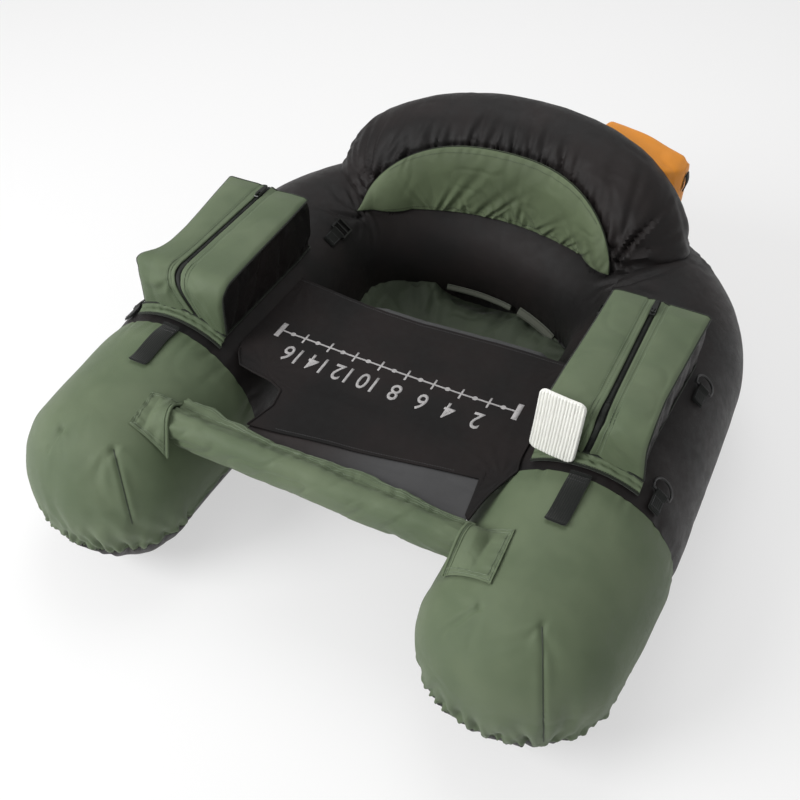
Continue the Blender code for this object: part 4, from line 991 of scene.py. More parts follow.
def tube_front(x, z):
    """How far forward the inner wall of the stern bend reaches, at places across and up."""
    centre, out = bend_at(np.linspace(0.02, math.pi - 0.02, 500))
    heights = np.linspace(0.03, TUBE_Z + TUBE_RADIUS, 90)
    inset = np.sqrt(np.maximum(TUBE_RADIUS ** 2 - (heights - TUBE_Z) ** 2, 0))
    table = []
    for value in inset:
        wall = centre - out * value
        order = np.argsort(wall[:, 0])
        table.append(np.interp(x.ravel(), wall[order, 0], wall[order, 1]))
    table = np.array(table)
    last = len(heights) - 1
    level = np.clip((z.ravel() - heights[0]) / (heights[-1] - heights[0]) * last, 0, last)
    base = np.minimum(level.astype(int), last - 1)
    share = level - base
    columns = np.arange(len(level))
    front = table[base, columns] * (1 - share) + table[base + 1, columns] * share
    return np.where(z.ravel() > TUBE_Z + TUBE_RADIUS, FAR_BEHIND, front).reshape(x.shape)


def taut(places, depths):
    """Depths of a cloth drawn tight in front of a hard outline, as its convex hull from the front."""
    kept = []
    for place, depth in zip(places, depths):
        while len(kept) > 1:
            (one_place, one_depth), (two_place, two_depth) = kept[-2:]
            if (two_depth - one_depth) * (place - one_place) >= (depth - one_depth) * (two_place - one_place):
                kept.pop()
            else:
                break
        kept.append((place, depth))
    return np.interp(places, *zip(*kept))


def build_crescent():
    """Padded green crescent: smooth seamed edges, slanted pleats inside them."""
    columns = np.linspace(-1, 1, 300)
    share, up = np.meshgrid(np.sign(columns) * np.abs(columns) ** 0.9, np.linspace(0, 1, 64))
    share = np.clip(share, -0.998, 0.998)
    low, high = crescent_edges(share)
    x = PANEL_X + PANEL_HALF_WIDTH * share
    z = low + (high - low) * up
    hard = np.minimum(arch_front(x, z), tube_front(x, z))
    base = [taut(heights, depths) for heights, depths in zip(z.T, hard.T)]
    grid = np.stack([x, np.transpose(base), z], -1)
    span = high - low
    crown = 0.007 * (4 * up * (1 - up)) ** 0.5 * np.clip(span / 0.07, 0, 1)
    edge_low = up * span
    edge_high = (1 - up) * span
    slope = gathers(x, edge_low, pleat_spots(-0.16, 0.24, 0.019, 0.0044, 0.0040, 0.032, 51, 1.0))
    slope += gathers(x, edge_low, pleat_spots(-0.12, 0.24, 0.045, 0.0046, 0.0080, 0.070, 55, 0.9))
    slope += gathers(x, edge_high, pleat_spots(-0.25, 0.24, 0.026, 0.0016, 0.0040, 0.014, 52, 0.4))
    soft = drift(grid, 0.07, 53) * 0.0018 + creases(grid, 0.045, 54) * 0.0012
    fade = np.clip(np.minimum(edge_low, edge_high) / 0.005, 0, 1)
    grid[..., 1] -= np.maximum(0.003 + crown + (slope + soft) * fade, 0.0025)
    piece = Piece("crescent_cloth")
    piece.slab(grid, PANEL_THICKNESS, down=REAR)
    for row in (0, -1):
        piece.roll(evenly(grid[row] + REAR * 0.0008, 0.004), PANEL_PIPING_RADIUS, 6, 1)
    for row in (4, -5):
        piece.stitches(grid[row][30:-30] - REAR * 0.0003, (0, -1, 0.3), 2)
    item = piece.make(["panel", "piping", "dark_thread"], ROOT, ["back_panel"])


def pouch_top_at(share):
    """Height of the pouch: slack on the left, filled and raised at the right, drooped at its ends."""
    ramp = np.clip((share - POUCH_SAG_SHARE) / (POUCH_CORNER_SHARE - POUCH_SAG_SHARE), 0, 1)
    return POUCH_TOP + POUCH_CORNER_RISE * ramp * ramp * (3 - 2 * ramp) - POUCH_CORNER_DROOP * share ** 4


def build_pouch():
    """Orange stern pouch behind the arch, with its lid edge and two end tabs."""
    columns = np.linspace(-1, 1, 150)
    xs = POUCH_HALF_WIDTH * columns
    tops = pouch_top_at(columns)
    outer = POUCH_REAR_Y - POUCH_BOW * columns ** 2
    inner = arch_plan_y(xs)
    inner = inner + (outer - POUCH_END_DEPTH - inner) * columns ** 4
    round_off = 0.020
    rings = []
    for x, top, front, rear in zip(xs, tops, inner, outer):
        outline = [(front, POUCH_LOW), (rear, POUCH_LOW), (rear, top - round_off * 1.2),
                   (rear - round_off * 0.35, top - round_off * 0.35), (rear - round_off * 1.2, top),
                   (front, top)]
        flat = evenly(outline + outline[:1], 1, 100)[:-1]
        rings.append(np.stack([np.full(len(flat), x), flat[:, 0], flat[:, 1]], 1))
    grid = np.array(rings)
    for _ in range(3):
        grid = (np.roll(grid, 1, 1) + 2 * grid + np.roll(grid, -1, 1)) / 4
    normal = outer_normals(grid, grid.reshape(-1, 3).mean(0))
    shape = drift(grid, 0.07, 61) * 0.004 + creases(grid * np.array((0.6, 1, 1.4)), 0.05, 62) * 0.0035
    corner = (POUCH_HALF_WIDTH, POUCH_REAR_Y - POUCH_BOW, POUCH_TOP + 0.010)
    shape += fan(grid, corner, (-1, 0.2, 0.4), (-0.2, 0.2, -1), 7, 0.12, 0.005, 64)
    ends = np.clip((1 - np.abs(columns)) / 0.05, 0, 1)[:, None]
    grid += normal * (shape * ends - 0.003 * (1 - ends))[..., None]
    piece = Piece("stern_pouch_cloth")
    piece.tube(grid)
    lid = np.stack([xs, outer - 0.0005, tops - 0.024], 1)
    piece.roll(evenly(lid[2:-2], 0.006), 0.0022, 6, 1)
    item = piece.make(["orange", "piping"], ROOT, ["stern_pouch"])
    for side, label in SIDES:
        low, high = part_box(label + "_pouch_tab")
        middle = (low + high) / 2
        path = [(middle.x, middle.y, high.z), (middle.x + side * 0.004, middle.y, middle.z),
                (middle.x, middle.y, low.z)]
        tab = Piece(label + "_pouch_tab_webbing")
        tab.band(smooth_path(path, 14), (side, 0, 0), POUCH_TAB_WIDTH, POUCH_TAB_THICKNESS)
        tab.make(["webbing"], ROOT, [label + "_pouch_tab"])


# Side pockets

def pocket_line():
    """Side outline of a pocket's cover, from its rear edge over the top and down the front."""
    angles = np.linspace(math.pi / 2, math.pi, 13)
    centre = np.array((POCKET_FRONT_Y + POCKET_BEND, POCKET_TOP - POCKET_BEND))
    bend = centre + POCKET_BEND * np.stack([np.cos(angles), np.sin(angles)], 1)
    return evenly([(POCKET_REAR_Y, POCKET_TOP), *bend, (POCKET_FRONT_Y, POCKET_FOOT_Z)], 0.004)


# Widths of a pocket from its zip: 0 to 1 along its top, then 1 to 2 down its front
POCKET_EDGES = {
    -1: {"outer": ((0, 0.0905), (0.2, 0.0830), (0.4, 0.0745), (0.6, 0.0672), (0.76, 0.0655),
                   (0.88, 0.0715), (1, 0.0840), (1.4, 0.0800), (2, 0.0830)),
         "inner": ((0, 0.0845), (0.35, 0.0895), (0.7, 0.0925), (1, 0.0965), (1.4, 0.0925), (2, 0.0900))},
    1: {"outer": ((0, 0.0872), (0.25, 0.0822), (0.5, 0.0775), (0.75, 0.0728), (1, 0.0745),
                  (1.4, 0.0740), (2, 0.0812)),
        "inner": ((0, 0.0757), (0.25, 0.0776), (0.5, 0.0805), (0.75, 0.0840), (1, 0.0860),
                  (1.4, 0.0840), (2, 0.0865))},
}

# How far each zip swings inwards, half the gap between the covers, and how far each outer corner lifts
ZIP_SWEEP = {-1: 0.032, 1: 0.009}
ZIP_HALF = 0.0052
POCKET_POINT = {-1: 0.0080, 1: 0.0}

ZIP_TAPE_WIDTH = 0.0150
ZIP_TAPE_THICKNESS = 0.0012
TOOTH_PITCH = 0.0024
TOOTH_RADIUS = 0.00085
COVER_GAP = 0.011
COVER_THICKNESS = 0.0022
GUSSET_THICKNESS = 0.0016


def pocket_run(line):
    """Place along a pocket's cover: 0 at its rear edge, 1 at the front bend, 2 at its foot."""
    reach = reach_along(line)
    corner = reach[-1] - (POCKET_TOP - POCKET_FOOT_Z) + 0.004
    return reach, np.where(reach < corner, reach / corner, 1 + (reach - corner) / (reach[-1] - corner))


def pocket_width(side, place, run):
    """Smooth width of a pocket from its zip to its inner or outer edge."""
    width = table_at(POCKET_EDGES[side][place], run)
    for _ in range(6):
        width = smoothed(width)
    return width


def zip_x(side, run):
    """Place of the zip across: straight along the top, then swept inwards down the front."""
    return side * (POCKET_X - ZIP_SWEEP[side] * np.clip(run - 0.9, 0, 2) ** 1.6)


def tube_top(x, side):
    """Height of a leg's upper surface at places across it."""
    return TUBE_Z + np.sqrt(np.maximum(TUBE_RADIUS ** 2 - (x - side * LEG_X) ** 2, 1e-6))


def down_to_tube(grid, run, side):
    """Stretch the front of a pocket down to just above the tube."""
    part = np.clip((POCKET_TOP - 0.02 - grid[..., 2]) / (POCKET_TOP - 0.02 - POCKET_FOOT_Z), 0, 1)
    part = part * (run > 0.95)[:, None]
    foot = tube_top(grid[..., 0], side) + COVER_GAP
    grid[..., 2] += part * (foot - POCKET_FOOT_Z)
    return grid


def cover_normals(line):
    """Directions square to a pocket's cover, along its side outline."""
    tangent = unit(np.gradient(line, axis=0))
    return np.stack([0 * tangent[:, 0], tangent[:, 1], -tangent[:, 0]], 1)


def pocket_cover(side, place, seed, line, normal):
    """Green top from the zip to one edge, over the bend and down the front."""
    reach, run = pocket_run(line)
    direction = side if place == "outer" else -side
    ratio = np.linspace(0, 1, 40)
    middle = zip_x(side, run)[:, None]
    edge = side * POCKET_X + direction * pocket_width(side, place, run)[:, None]
    start = middle + direction * ZIP_HALF * (1 + 0.35 * np.exp(-((run - 1.04) / 0.14) ** 2))[:, None]
    grid = np.zeros((len(line), len(ratio), 3))
    grid[..., 0] = start + (edge - start) * ratio[None]
    grid[..., 1] = line[:, None, 0]
    grid[..., 2] = line[:, None, 1]
    span = reach[:, None]
    puff = 0.0060 * np.sin(ratio * math.pi) ** 0.8 * np.clip(span / 0.03, 0, 1)
    puff = puff * (0.5 + 0.5 * np.clip((reach[-1] - span) / 0.05, 0, 1))
    lip = 0.0022 * np.exp(-((ratio - 0.02) / 0.05) ** 2) - 0.0014 * np.exp(-((ratio - 0.15) / 0.03) ** 2)
    drop = -0.0035 * np.clip((ratio - 0.90) / 0.10, 0, 1) ** 2
    soft = drift(grid, 0.07, seed) * 0.0020 + creases(grid, 0.06, seed + 1) * 0.0014
    bend = (side * POCKET_X, POCKET_FRONT_Y + 0.01, POCKET_TOP - 0.01)
    soft += fan(grid, bend, (direction * 0.2, 0.2, -1), (direction, 0.5, 0.1), 6, 0.08, 0.0022, seed + 4)
    spots = pleat_spots(0, reach[-1], 0.024, 0.0010, 0.004, 0.012, seed + 3)
    seam = gathers(span, ratio[None] * 0.08, spots)
    calm = np.clip((1 - ratio) / 0.12, 0.12, 1) * np.clip(ratio / 0.2, 0.2, 1)
    lift = 0.0026 + puff + lip + drop + (soft + seam) * calm
    grid += normal[:, None] * lift[..., None]
    if place == "outer":
        point = POCKET_POINT[side] * np.exp(-((run - 0.99) / 0.10) ** 2)[:, None] * ratio ** 3
        grid += point[..., None] * np.array((direction * 0.5, -0.3, 0.9))
    return down_to_tube(grid, run, side)


def build_pocket(side, label, seed):
    """One side pocket: two covers, black walls, the zip between the covers and the gusset."""
    line = pocket_line()
    normal = cover_normals(line)
    edges = {}
    for place, extra in (("outer", 1), ("inner", 5)):
        grid = pocket_cover(side, place, seed + extra, line, normal)
        edges[place] = grid[:, -1]
        piece = Piece(label + "_pocket_" + place + "_cover")
        piece.slab(grid, COVER_THICKNESS, down=-normal[:, None])
        for column in (4, 7):
            piece.stitches(grid[2:-2, column] + normal[2:-2] * 0.0002, normal[2:-2], 1, 0.0045)
        piece.roll(grid[:, -1] - normal * 0.0012, 0.0019, 7, 2, normals=normal)
        piece.roll(evenly(grid[0] - normal[0] * 0.0010, 0.004), 0.0020, 7, 2)
        piece.roll(evenly(grid[-1] - normal[-1] * 0.0010, 0.004), 0.0018, 7, 2, normals=(0, -1, 0.2))
        piece.make(["green", "green_thread", "piping"], ROOT,
                   [label + "_pocket_" + place + "_panel"])
    build_pocket_walls(side, label, seed, edges, normal)
    build_zip(side, label, line, normal)
    build_gusset(side, label, seed)


def build_pocket_walls(side, label, seed, edges, normal):
    """Black walls from the covers' edges down to the tube, softly folded, with a bound foot."""
    outer = edges["outer"] - normal * COVER_THICKNESS + np.array((-side * 0.0012, 0, 0))
    inner = edges["inner"] - normal * COVER_THICKNESS + np.array((side * 0.0012, 0, 0))
    share = np.linspace(0, 1, 30)[1:-1, None]
    loop = np.concatenate([outer, outer[-1] + (inner[-1] - outer[-1]) * share, inner[::-1],
                           inner[0] + (outer[0] - inner[0]) * share])
    facing = np.repeat([(side, 0, 0), (0, -1, 0), (-side, 0, 0), (0, 1, 0)],
                       [len(outer), len(share), len(inner), len(share)], axis=0).astype(float)
    middle = np.array((POCKET_X * side, (POCKET_FRONT_Y + POCKET_REAR_Y) / 2))
    foot = loop.copy()
    foot[:, :2] = middle + (loop[:, :2] - middle) * 0.985
    foot[:, 0] = middle[0] + np.clip(foot[:, 0] - middle[0], -POCKET_FOOT_HALF, POCKET_FOOT_HALF)
    foot[:, 2] = np.minimum(tube_top(foot[:, 0], side) + 0.0006, loop[:, 2] - 0.004)
    share = np.linspace(0, 1, 34)[:, None]
    grid = loop[None] * (1 - share[..., None]) + foot[None] * share[..., None]
    length = reach_along(loop)
    height = loop[:, 2] - foot[:, 2]
    drop = height[None] * share
    bulge = 0.0040 * np.sin(share * math.pi) * np.clip(height / 0.05, 0, 1)[None]
    spots = pleat_spots(0, length[-1], 0.042, 0.0050, 0.0075, 0.07, seed + 7, 0.6)
    folds = gathers(length[None], drop, spots)
    spots = pleat_spots(0, length[-1], 0.030, 0.0036, 0.0055, 0.03, seed + 8, 0.5)
    folds += gathers(length[None], height[None] - drop, spots)
    soft = drift(grid, 0.06, seed + 9) * 0.0030 + creases(grid, 0.045, seed + 10) * 0.0020
    fade = np.clip(np.minimum(drop, height[None] - drop) / 0.010, 0, 1)
    grid = grid + facing[None] * np.clip((bulge + folds + soft) * fade - 0.0006, -0.010, 0.004)[..., None]
    walls = Piece(label + "_pocket_walls")
    walls.tube(grid)
    walls.roll(foot + facing * 0.0008 + UP * 0.0012, 0.0019, 7, 1, closed=True)
    walls.make(["black", "piping"], ROOT, [label + "_pocket_body"])


def build_zip(side, label, line, normal):
    """Zip tape between a pocket's covers, and the row of teeth down its middle."""
    run = pocket_run(line)[1]
    middle = np.stack([zip_x(side, run), line[:, 0], line[:, 1]], 1)
    middle = down_to_tube(middle[:, None], run, side)[:, 0]
    tape = Piece(label + "_zip_tape_cloth")
    tape.band(middle + normal * 0.0007, normal, ZIP_TAPE_WIDTH, ZIP_TAPE_THICKNESS)
    tape.make(["tape"], ROOT, [label + "_zip_tape"])
    teeth = Piece(label + "_zip_teeth")
    dense = evenly(np.concatenate([middle, normal], 1), TOOTH_PITCH)
    ups = unit(dense[:, 3:])
    places = dense[:, :3] + ups * 0.0022
    along = unit(np.gradient(places, axis=0))
    reach = np.array([[-0.0026], [-0.0012], [0.0012], [0.0026]])
    rise = np.array([[-0.0006], [0.0006], [0.0006], [-0.0006]])
    for index, (place, up, way) in enumerate(zip(places, ups, along)):
        shift = 0.0009 if index % 2 else -0.0009
        tooth = place + unit(np.cross(way, up)) * (shift + reach) + up * rise
        teeth.roll(tooth, TOOTH_RADIUS, 6, normals=way)
    teeth.make(["teeth"], ROOT, [label + "_zip_coil"])


def build_gusset(side, label, seed):
    """Narrow strip folded under a pocket's front, which lies forward on the tube."""
    outer = side * (POCKET_X + POCKET_EDGES[side]["outer"][-1][1] + 0.001)
    inner = side * (POCKET_X - POCKET_EDGES[side]["inner"][-1][1] - 0.001)
    x = (outer + (inner - outer) * np.linspace(0, 1, 110))[None]
    share = np.linspace(0, 1, 26)[:, None]
    away = np.stack([x + 0 * share, share * 0.05 + 0 * x, 0 * x * share], -1)
    fold = 0.0050 * np.abs(np.sin(share * math.pi * 2 + drift(away, 0.05, seed + 12) * 0.7)) ** 0.7
    fold = fold * (0.7 + 0.5 * drift(away, 0.035, seed + 13)) * np.sin(share * math.pi) ** 0.4
    y = POCKET_FRONT_Y - 0.0030 - 0.017 * share ** 1.3 - fold * 0.6
    z = tube_top(x, side) + 0.0115 * (1 - share) ** 1.2 + 0.0014 + fold * 0.8
    cloth = np.stack([x + 0 * share, y, z], -1)
    spots = pleat_spots(-0.5, 0.5, 0.016, 0.0022, 0.004, 0.02, seed + 14, 1.2)
    cloth[..., 2] += gathers(x, share * 0.03, spots) * np.sin(share * math.pi)
    gusset = Piece(label + "_pocket_gusset")
    gusset.slab(cloth, GUSSET_THICKNESS, down=np.array((0, 0.6, -0.8)))
    gusset.roll(evenly(cloth[-1] + np.array((0, -0.0008, 0.0004)), 0.004), 0.0022, 7, 1)
    gusset.roll(evenly(cloth[0] + np.array((0, -0.0006, 0.0010)), 0.004), 0.0018, 7, 1)
    gusset.stitches(cloth[-4] + np.array((0, -0.0006, 0.0003)), (0, -0.6, 0.8), 2)
    gusset.make(["green", "piping", "dark_thread"], ROOT)


PATCH_SIZE = (0.075, 0.112)
PATCH_CORNER = 0.012
PATCH_RIB_PITCH = 0.0050
PATCH_LEAN = math.radians(8)
PATCH_TURN = math.radians(6)


def rounded_off(places, half):
    """Sign, inner part and overhang of places on one axis of the patch, whose corners are round."""
    inner = half - PATCH_CORNER
    return np.sign(places), np.minimum(np.abs(places), inner), np.maximum(np.abs(places) - inner, 0)


def build_fly_patch():
    """Ribbed white fleece plate, hung on the front bend of the right pocket."""
    low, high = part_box("fly_patch")
    lean, turn = PATCH_LEAN, PATCH_TURN
    across = np.array((math.cos(turn), -math.sin(turn), 0))
    up = np.array((math.sin(turn) * math.sin(lean), math.cos(turn) * math.sin(lean), math.cos(lean)))
    normal = np.cross(across, up)
    width, height = PATCH_SIZE
    centre = (np.array(low) + np.array(high)) / 2 - normal * 0.0025
    b, a = np.meshgrid(np.linspace(-1, 1, 81), np.linspace(-1, 1, 171), indexing="ij")
    sign_x, flat_x, over_x = rounded_off(a * width / 2, width / 2)
    sign_z, flat_z, over_z = rounded_off(b * height / 2, height / 2)
    pull = np.maximum(over_x, over_z) / np.maximum(np.hypot(over_x, over_z), 1e-9)
    x = sign_x * (flat_x + over_x * pull)
    z = sign_z * (flat_z + over_z * pull)
    ribs = np.abs(np.cos(x / PATCH_RIB_PITCH * math.pi)) ** 0.6
    rim = np.clip((1 - np.maximum(np.abs(a), np.abs(b))) / 0.05, 0, 1) ** 0.5
    thick = 0.0022 + (0.0018 + 0.0018 * ribs) * rim
    wobble = drift(np.stack([x, z, 0 * x], -1), 0.012, 71) * 0.0003
    bow = 0.0015 * np.cos(a * math.pi / 2) + 0.0015 * b * b
    back = centre + x[..., None] * across + z[..., None] * up + bow[..., None] * normal
    front = back + (thick + wobble)[..., None] * normal
    piece = Piece("fly_patch_fleece")
    piece.grid(front)
    piece.grid(back)
    piece.grid(np.stack([border(front), border(back)]), wrap=True)
    piece.make(["fleece"], ROOT, ["fly_patch"])


# Webbing, rings and buckles

STRAP_X = LEG_X - 0.0095
STRAP_LENGTH = 0.1
STRAP_WIDTH = 0.033
STRAP_THICKNESS = 0.0026


def build_rod_strap(side, label):
    """Webbing on top of a nose, sewn at its rear end, with its free end curled up."""
    ys = np.linspace(SEAM_Y + 0.0008, SEAM_Y - STRAP_LENGTH, 40)
    ahead = SEAM_Y - ys
    path = np.stack([0 * ys + side * STRAP_X, ys, 0 * ys + TUBE_Z + 0.16], 1)
    path = on_tube(path, 0.0024)
    path[:, 0] += side * -0.004 * (ahead / STRAP_LENGTH) ** 2
    curl = np.clip((ahead - 0.075) / 0.025, 0, 1)
    path[:, 2] += 0.0035 * curl ** 2 + 0.0012 * np.sin(ahead / STRAP_LENGTH * 5)
    normal = tube_normal(path)
    piece = Piece(label + "_rod_strap_webbing")
    piece.band(path, normal, STRAP_WIDTH, STRAP_THICKNESS)
    across = np.linspace(-0.014, 0.014, 8)[:, None] * np.array((1, 0, 0))
    for place in (3, 6):
        piece.stitches(path[place] + normal[place] * 0.0015 + across, normal[place], 1, 0.0035, 0.0026)
    piece.make(["webbing", "black_thread"], label + "_strap", [label + "_rod_strap"])


# Direction out of the tube where the rings and buckles lie, across and up, and their hinge lines
SLANT = (0.623490, 0.781831)
RING_X, RING_Z = 0.488087, 0.295238
RING_HALF = 0.019
RING_DEPTH = 0.027
RING_WIRE_RADIUS = 0.0020
RING_LOOP_WIDTH = 0.022
RING_BORE = 0.0024
BUCKLE_PLACE = (0.277743, 0.142, 0.295451)
BUCKLE_LOOP_WIDTH = 0.0258
BUCKLE_BORE = 0.0026
LOOP_THICKNESS = 0.0015


def slanted_axes(side):
    """Directions across and out of the tube, on a wall that faces right or, with side -1, left."""
    return np.array((SLANT[1], 0, -side * SLANT[0])), np.array((side * SLANT[0], 0, SLANT[1]))


def build_loop(name, cad_tab, place, x_axis, z_axis, width, bore):
    """Webbing sewn on the tube and rolled round a ring's bar, its free end folded under."""
    place = np.array(place)
    drop = bore + 0.0018
    wrap = bore + 0.0010
    profile = [(-0.036, -drop + 0.0012), (-0.020, -drop + 0.0014), (-0.006, -drop + 0.0017)]
    for angle in np.radians(np.linspace(-125, 125, 15)):
        profile.append((wrap * math.cos(angle), wrap * math.sin(angle)))
    profile += [(-0.008, -drop + 0.0042), (-0.020, -drop + 0.0034), (-0.034, -drop + 0.0031)]
    path = smooth_path(profile, 70)
    points = place + path[:, :1] * REAR + path[:, 1:] * z_axis
    piece = Piece(name)
    piece.band(points, np.cross(unit(np.gradient(points, axis=0)), x_axis), width, LOOP_THICKNESS)
    half = width / 2 - 0.002
    fore, rear = -0.012, -0.030
    for start, end in (((-half, fore), (half, fore)), ((-half, rear), (half, rear)),
                       ((-half, rear), (-half, fore)), ((half, rear), (half, fore))):
        flat = np.linspace(start, end, 6)
        row = place + flat[:, 1:] * REAR + flat[:, :1] * x_axis + z_axis * (-drop + 0.0046)
        piece.stitches(row, z_axis, 1, 0.0032, 0.0024)
    piece.make(["webbing", "black_thread"], ROOT, [cad_tab])


def build_ring(side, label, place, y):
    """D-ring on its hinge, its straight bar in a loop of webbing."""
    name = label + "_" + place
    axis = (side * RING_X, y, RING_Z)
    x_axis, z_axis = slanted_axes(side)
    build_loop(name + "_ring_webbing", name + "_ring_tab", axis, x_axis, z_axis, RING_LOOP_WIDTH, RING_BORE)
    outline = [(-RING_HALF * 0.94, 0), (RING_HALF * 0.94, 0)]
    foot = RING_HALF / 2
    for angle in np.linspace(0, math.pi, 25):
        outline.append((RING_HALF * math.cos(angle), foot + (RING_DEPTH - foot) * math.sin(angle)))
    path = evenly(outline + outline[:1], 0.0016)[:-1]
    piece = Piece(name + "_ring")
    points = np.array(axis) + path[:, :1] * x_axis + path[:, 1:] * REAR
    piece.roll(points, RING_WIRE_RADIUS, 12, closed=True, normals=z_axis)
    piece.make(["plastic"], name + "_ring", [name + "_d_ring"])


def build_buckle(side, label):
    """Webbing loop of a buckle; the buckle's own solid keeps its shape."""
    axis = np.array((side, 1, 1)) * BUCKLE_PLACE
    x_axis, z_axis = slanted_axes(-side)
    build_loop(label + "_buckle_webbing", label + "_buckle_tab", axis, x_axis, z_axis, BUCKLE_LOOP_WIDTH,
               BUCKLE_BORE)
    refinish(label + "_buckle", "plastic")


# Bar sleeve and bar pockets

SLEEVE_END = 0.262

# Places of the sleeve's groove and of its rear edge behind the bar, along the bar
SLEEVE_GROOVE = ((-0.262, 0.034), (-0.15, 0.027), (0.08, 0.024), (0.22, 0.0215), (0.262, 0.021))
SLEEVE_REAR = ((-0.262, 0.060), (-0.215, 0.058), (-0.181, 0.051), (-0.144, 0.044), (-0.085, 0.038),
               (-0.012, 0.042), (0.06, 0.048), (0.135, 0.044), (0.207, 0.037), (0.262, 0.037))


def sleeve_section(x):
    """Section of the sleeve at a place along the bar: flange, groove, roll round the bar and fold."""
    groove = table_at(SLEEVE_GROOVE, x)
    rear = table_at(SLEEVE_REAR, x)
    radius = 0.0200 - 0.0022 * x / SLEEVE_END
    middle = (rear + groove) / 2
    points = [(rear, -0.0035), (rear - 0.003, -0.0008), (middle, 0.0016), (groove + 0.003, 0.0004),
              (groove - 0.002, 0.0016), (radius * 0.98, radius * 0.42), (radius * 0.62, radius * 0.82),
              (0, radius * 1.03), (-radius * 0.66, radius * 0.82), (-radius * 1.04, radius * 0.15),
              (-0.0208, -0.014), (-0.0186, -0.031), (-0.0145, -0.0430), (-0.0085, -0.0475),
              (-0.0035, -0.0435), (0.0015, -0.0290), (0.0120, -0.0155), (0.0240, -0.0075),
              (middle, -0.0048), (rear - 0.003, -0.0062)]
    return smooth_path(points + points[:1], 132)[:-1]


def build_sleeve():
    """Green sleeve round the bar: a flange sewn behind the roll and a loose fold that hangs in front."""
    xs = np.linspace(-SLEEVE_END, SLEEVE_END, 190)
    sections = np.array([sleeve_section(x) for x in xs])
    behind = np.clip((sections[..., 0] - 0.020) / 0.03, 0, 1)
    hanging = np.clip((-0.012 - sections[..., 1]) / 0.03, 0, 1)
    grid = np.zeros(sections.shape[:2] + (3,))
    along = xs[:, None]
    grid[..., 0] = along - 0.010 * behind * np.clip(-along / SLEEVE_END, 0, 1) ** 6
    grid[..., 1] = BAR_Y + sections[..., 0]
    grid[..., 2] = BAR_HEIGHT + sections[..., 1]
    line = np.stack([xs, 0 * xs, 0 * xs], 1)
    wave = 0.0024 * drift(line, 0.030, 81)[:, None]
    curl = 0.0042 * drift(line + np.array((0, 1, 0)), 0.050, 82)[:, None]
    sway = 0.0030 * drift(line + np.array((0, 2, 0)), 0.070, 86)[:, None]
    grid[..., 1] += behind ** 1.5 * wave + hanging * sway
    grid[..., 2] += behind * (curl - 0.001) + hanging * 0.5 * sway
    around = np.cumsum(np.linalg.norm(np.diff(grid, axis=1, prepend=grid[:, :1]), axis=2), axis=1)
    field = np.stack([grid[..., 0] + around * 0.8, around, 0 * around], -1)
    shape = creases(field, 0.045, 83) * 0.0020 + creases(field * np.array((1, 0.4, 1)), 0.024, 88) * 0.0008
    shape += drift(grid, 0.05, 84) * 0.0013
    end_gap = SLEEVE_END - np.abs(grid[..., 0])
    shape += gathers(around, end_gap, pleat_spots(0, 0.20, 0.017, 0.0026, 0.0045, 0.045, 85, 0.5))
    spots = pleat_spots(-0.25, 0.25, 0.028, 0.0018, 0.005, 0.016, 87, 0.5)
    shape += gathers(grid[..., 0], np.abs(sections[..., 0] - 0.024), spots)
    normal = outer_normals(grid, np.array((0, BAR_Y + 0.004, BAR_HEIGHT - 0.006)))
    near = np.hypot(sections[..., 0], sections[..., 1]) - BAR_RADIUS
    grid += normal * np.clip(shape, -np.minimum(0.0034, np.maximum(near - 0.0008, 0)), 0.0022)[..., None]
    piece = Piece("bar_sleeve_cloth")
    piece.tube(grid)
    rows = np.arange(3, len(xs) - 3)
    under = (sections[..., 1] < -0.003) * 1.0
    rear = sections[..., 0].max(1)
    for line in (rear - 0.0045, rear - 0.0095, table_at(SLEEVE_GROOVE, xs) + 0.0045):
        column = np.argmin(np.abs(sections[..., 0] - line[:, None]) + under, axis=1)[rows]
        piece.stitches(grid[rows, column] + normal[rows, column] * 0.0003, normal[rows, column])
    piece.make(["green", "green_thread"], ROOT, ["bar_sleeve"])
    refinish("stabilizer_bar", "aluminium")


# Corners of each cuff seen from above, as on the right side: front inner and outer, rear inner and outer
CUFF_CORNERS = {
    -1: ((0.2441, -0.4780), (0.3095, -0.4783), (0.2735, -0.3898), (0.3165, -0.4055)),
    1: ((0.2480, -0.4849), (0.3251, -0.4995), (0.2600, -0.4045), (0.3209, -0.3992)),
}
CUFF_LENGTH = 0.09
CUFF_WIDTH = 0.075
CUFF_THICKNESS = 0.0018
CUFF_DOME_RADIUS = 0.0228


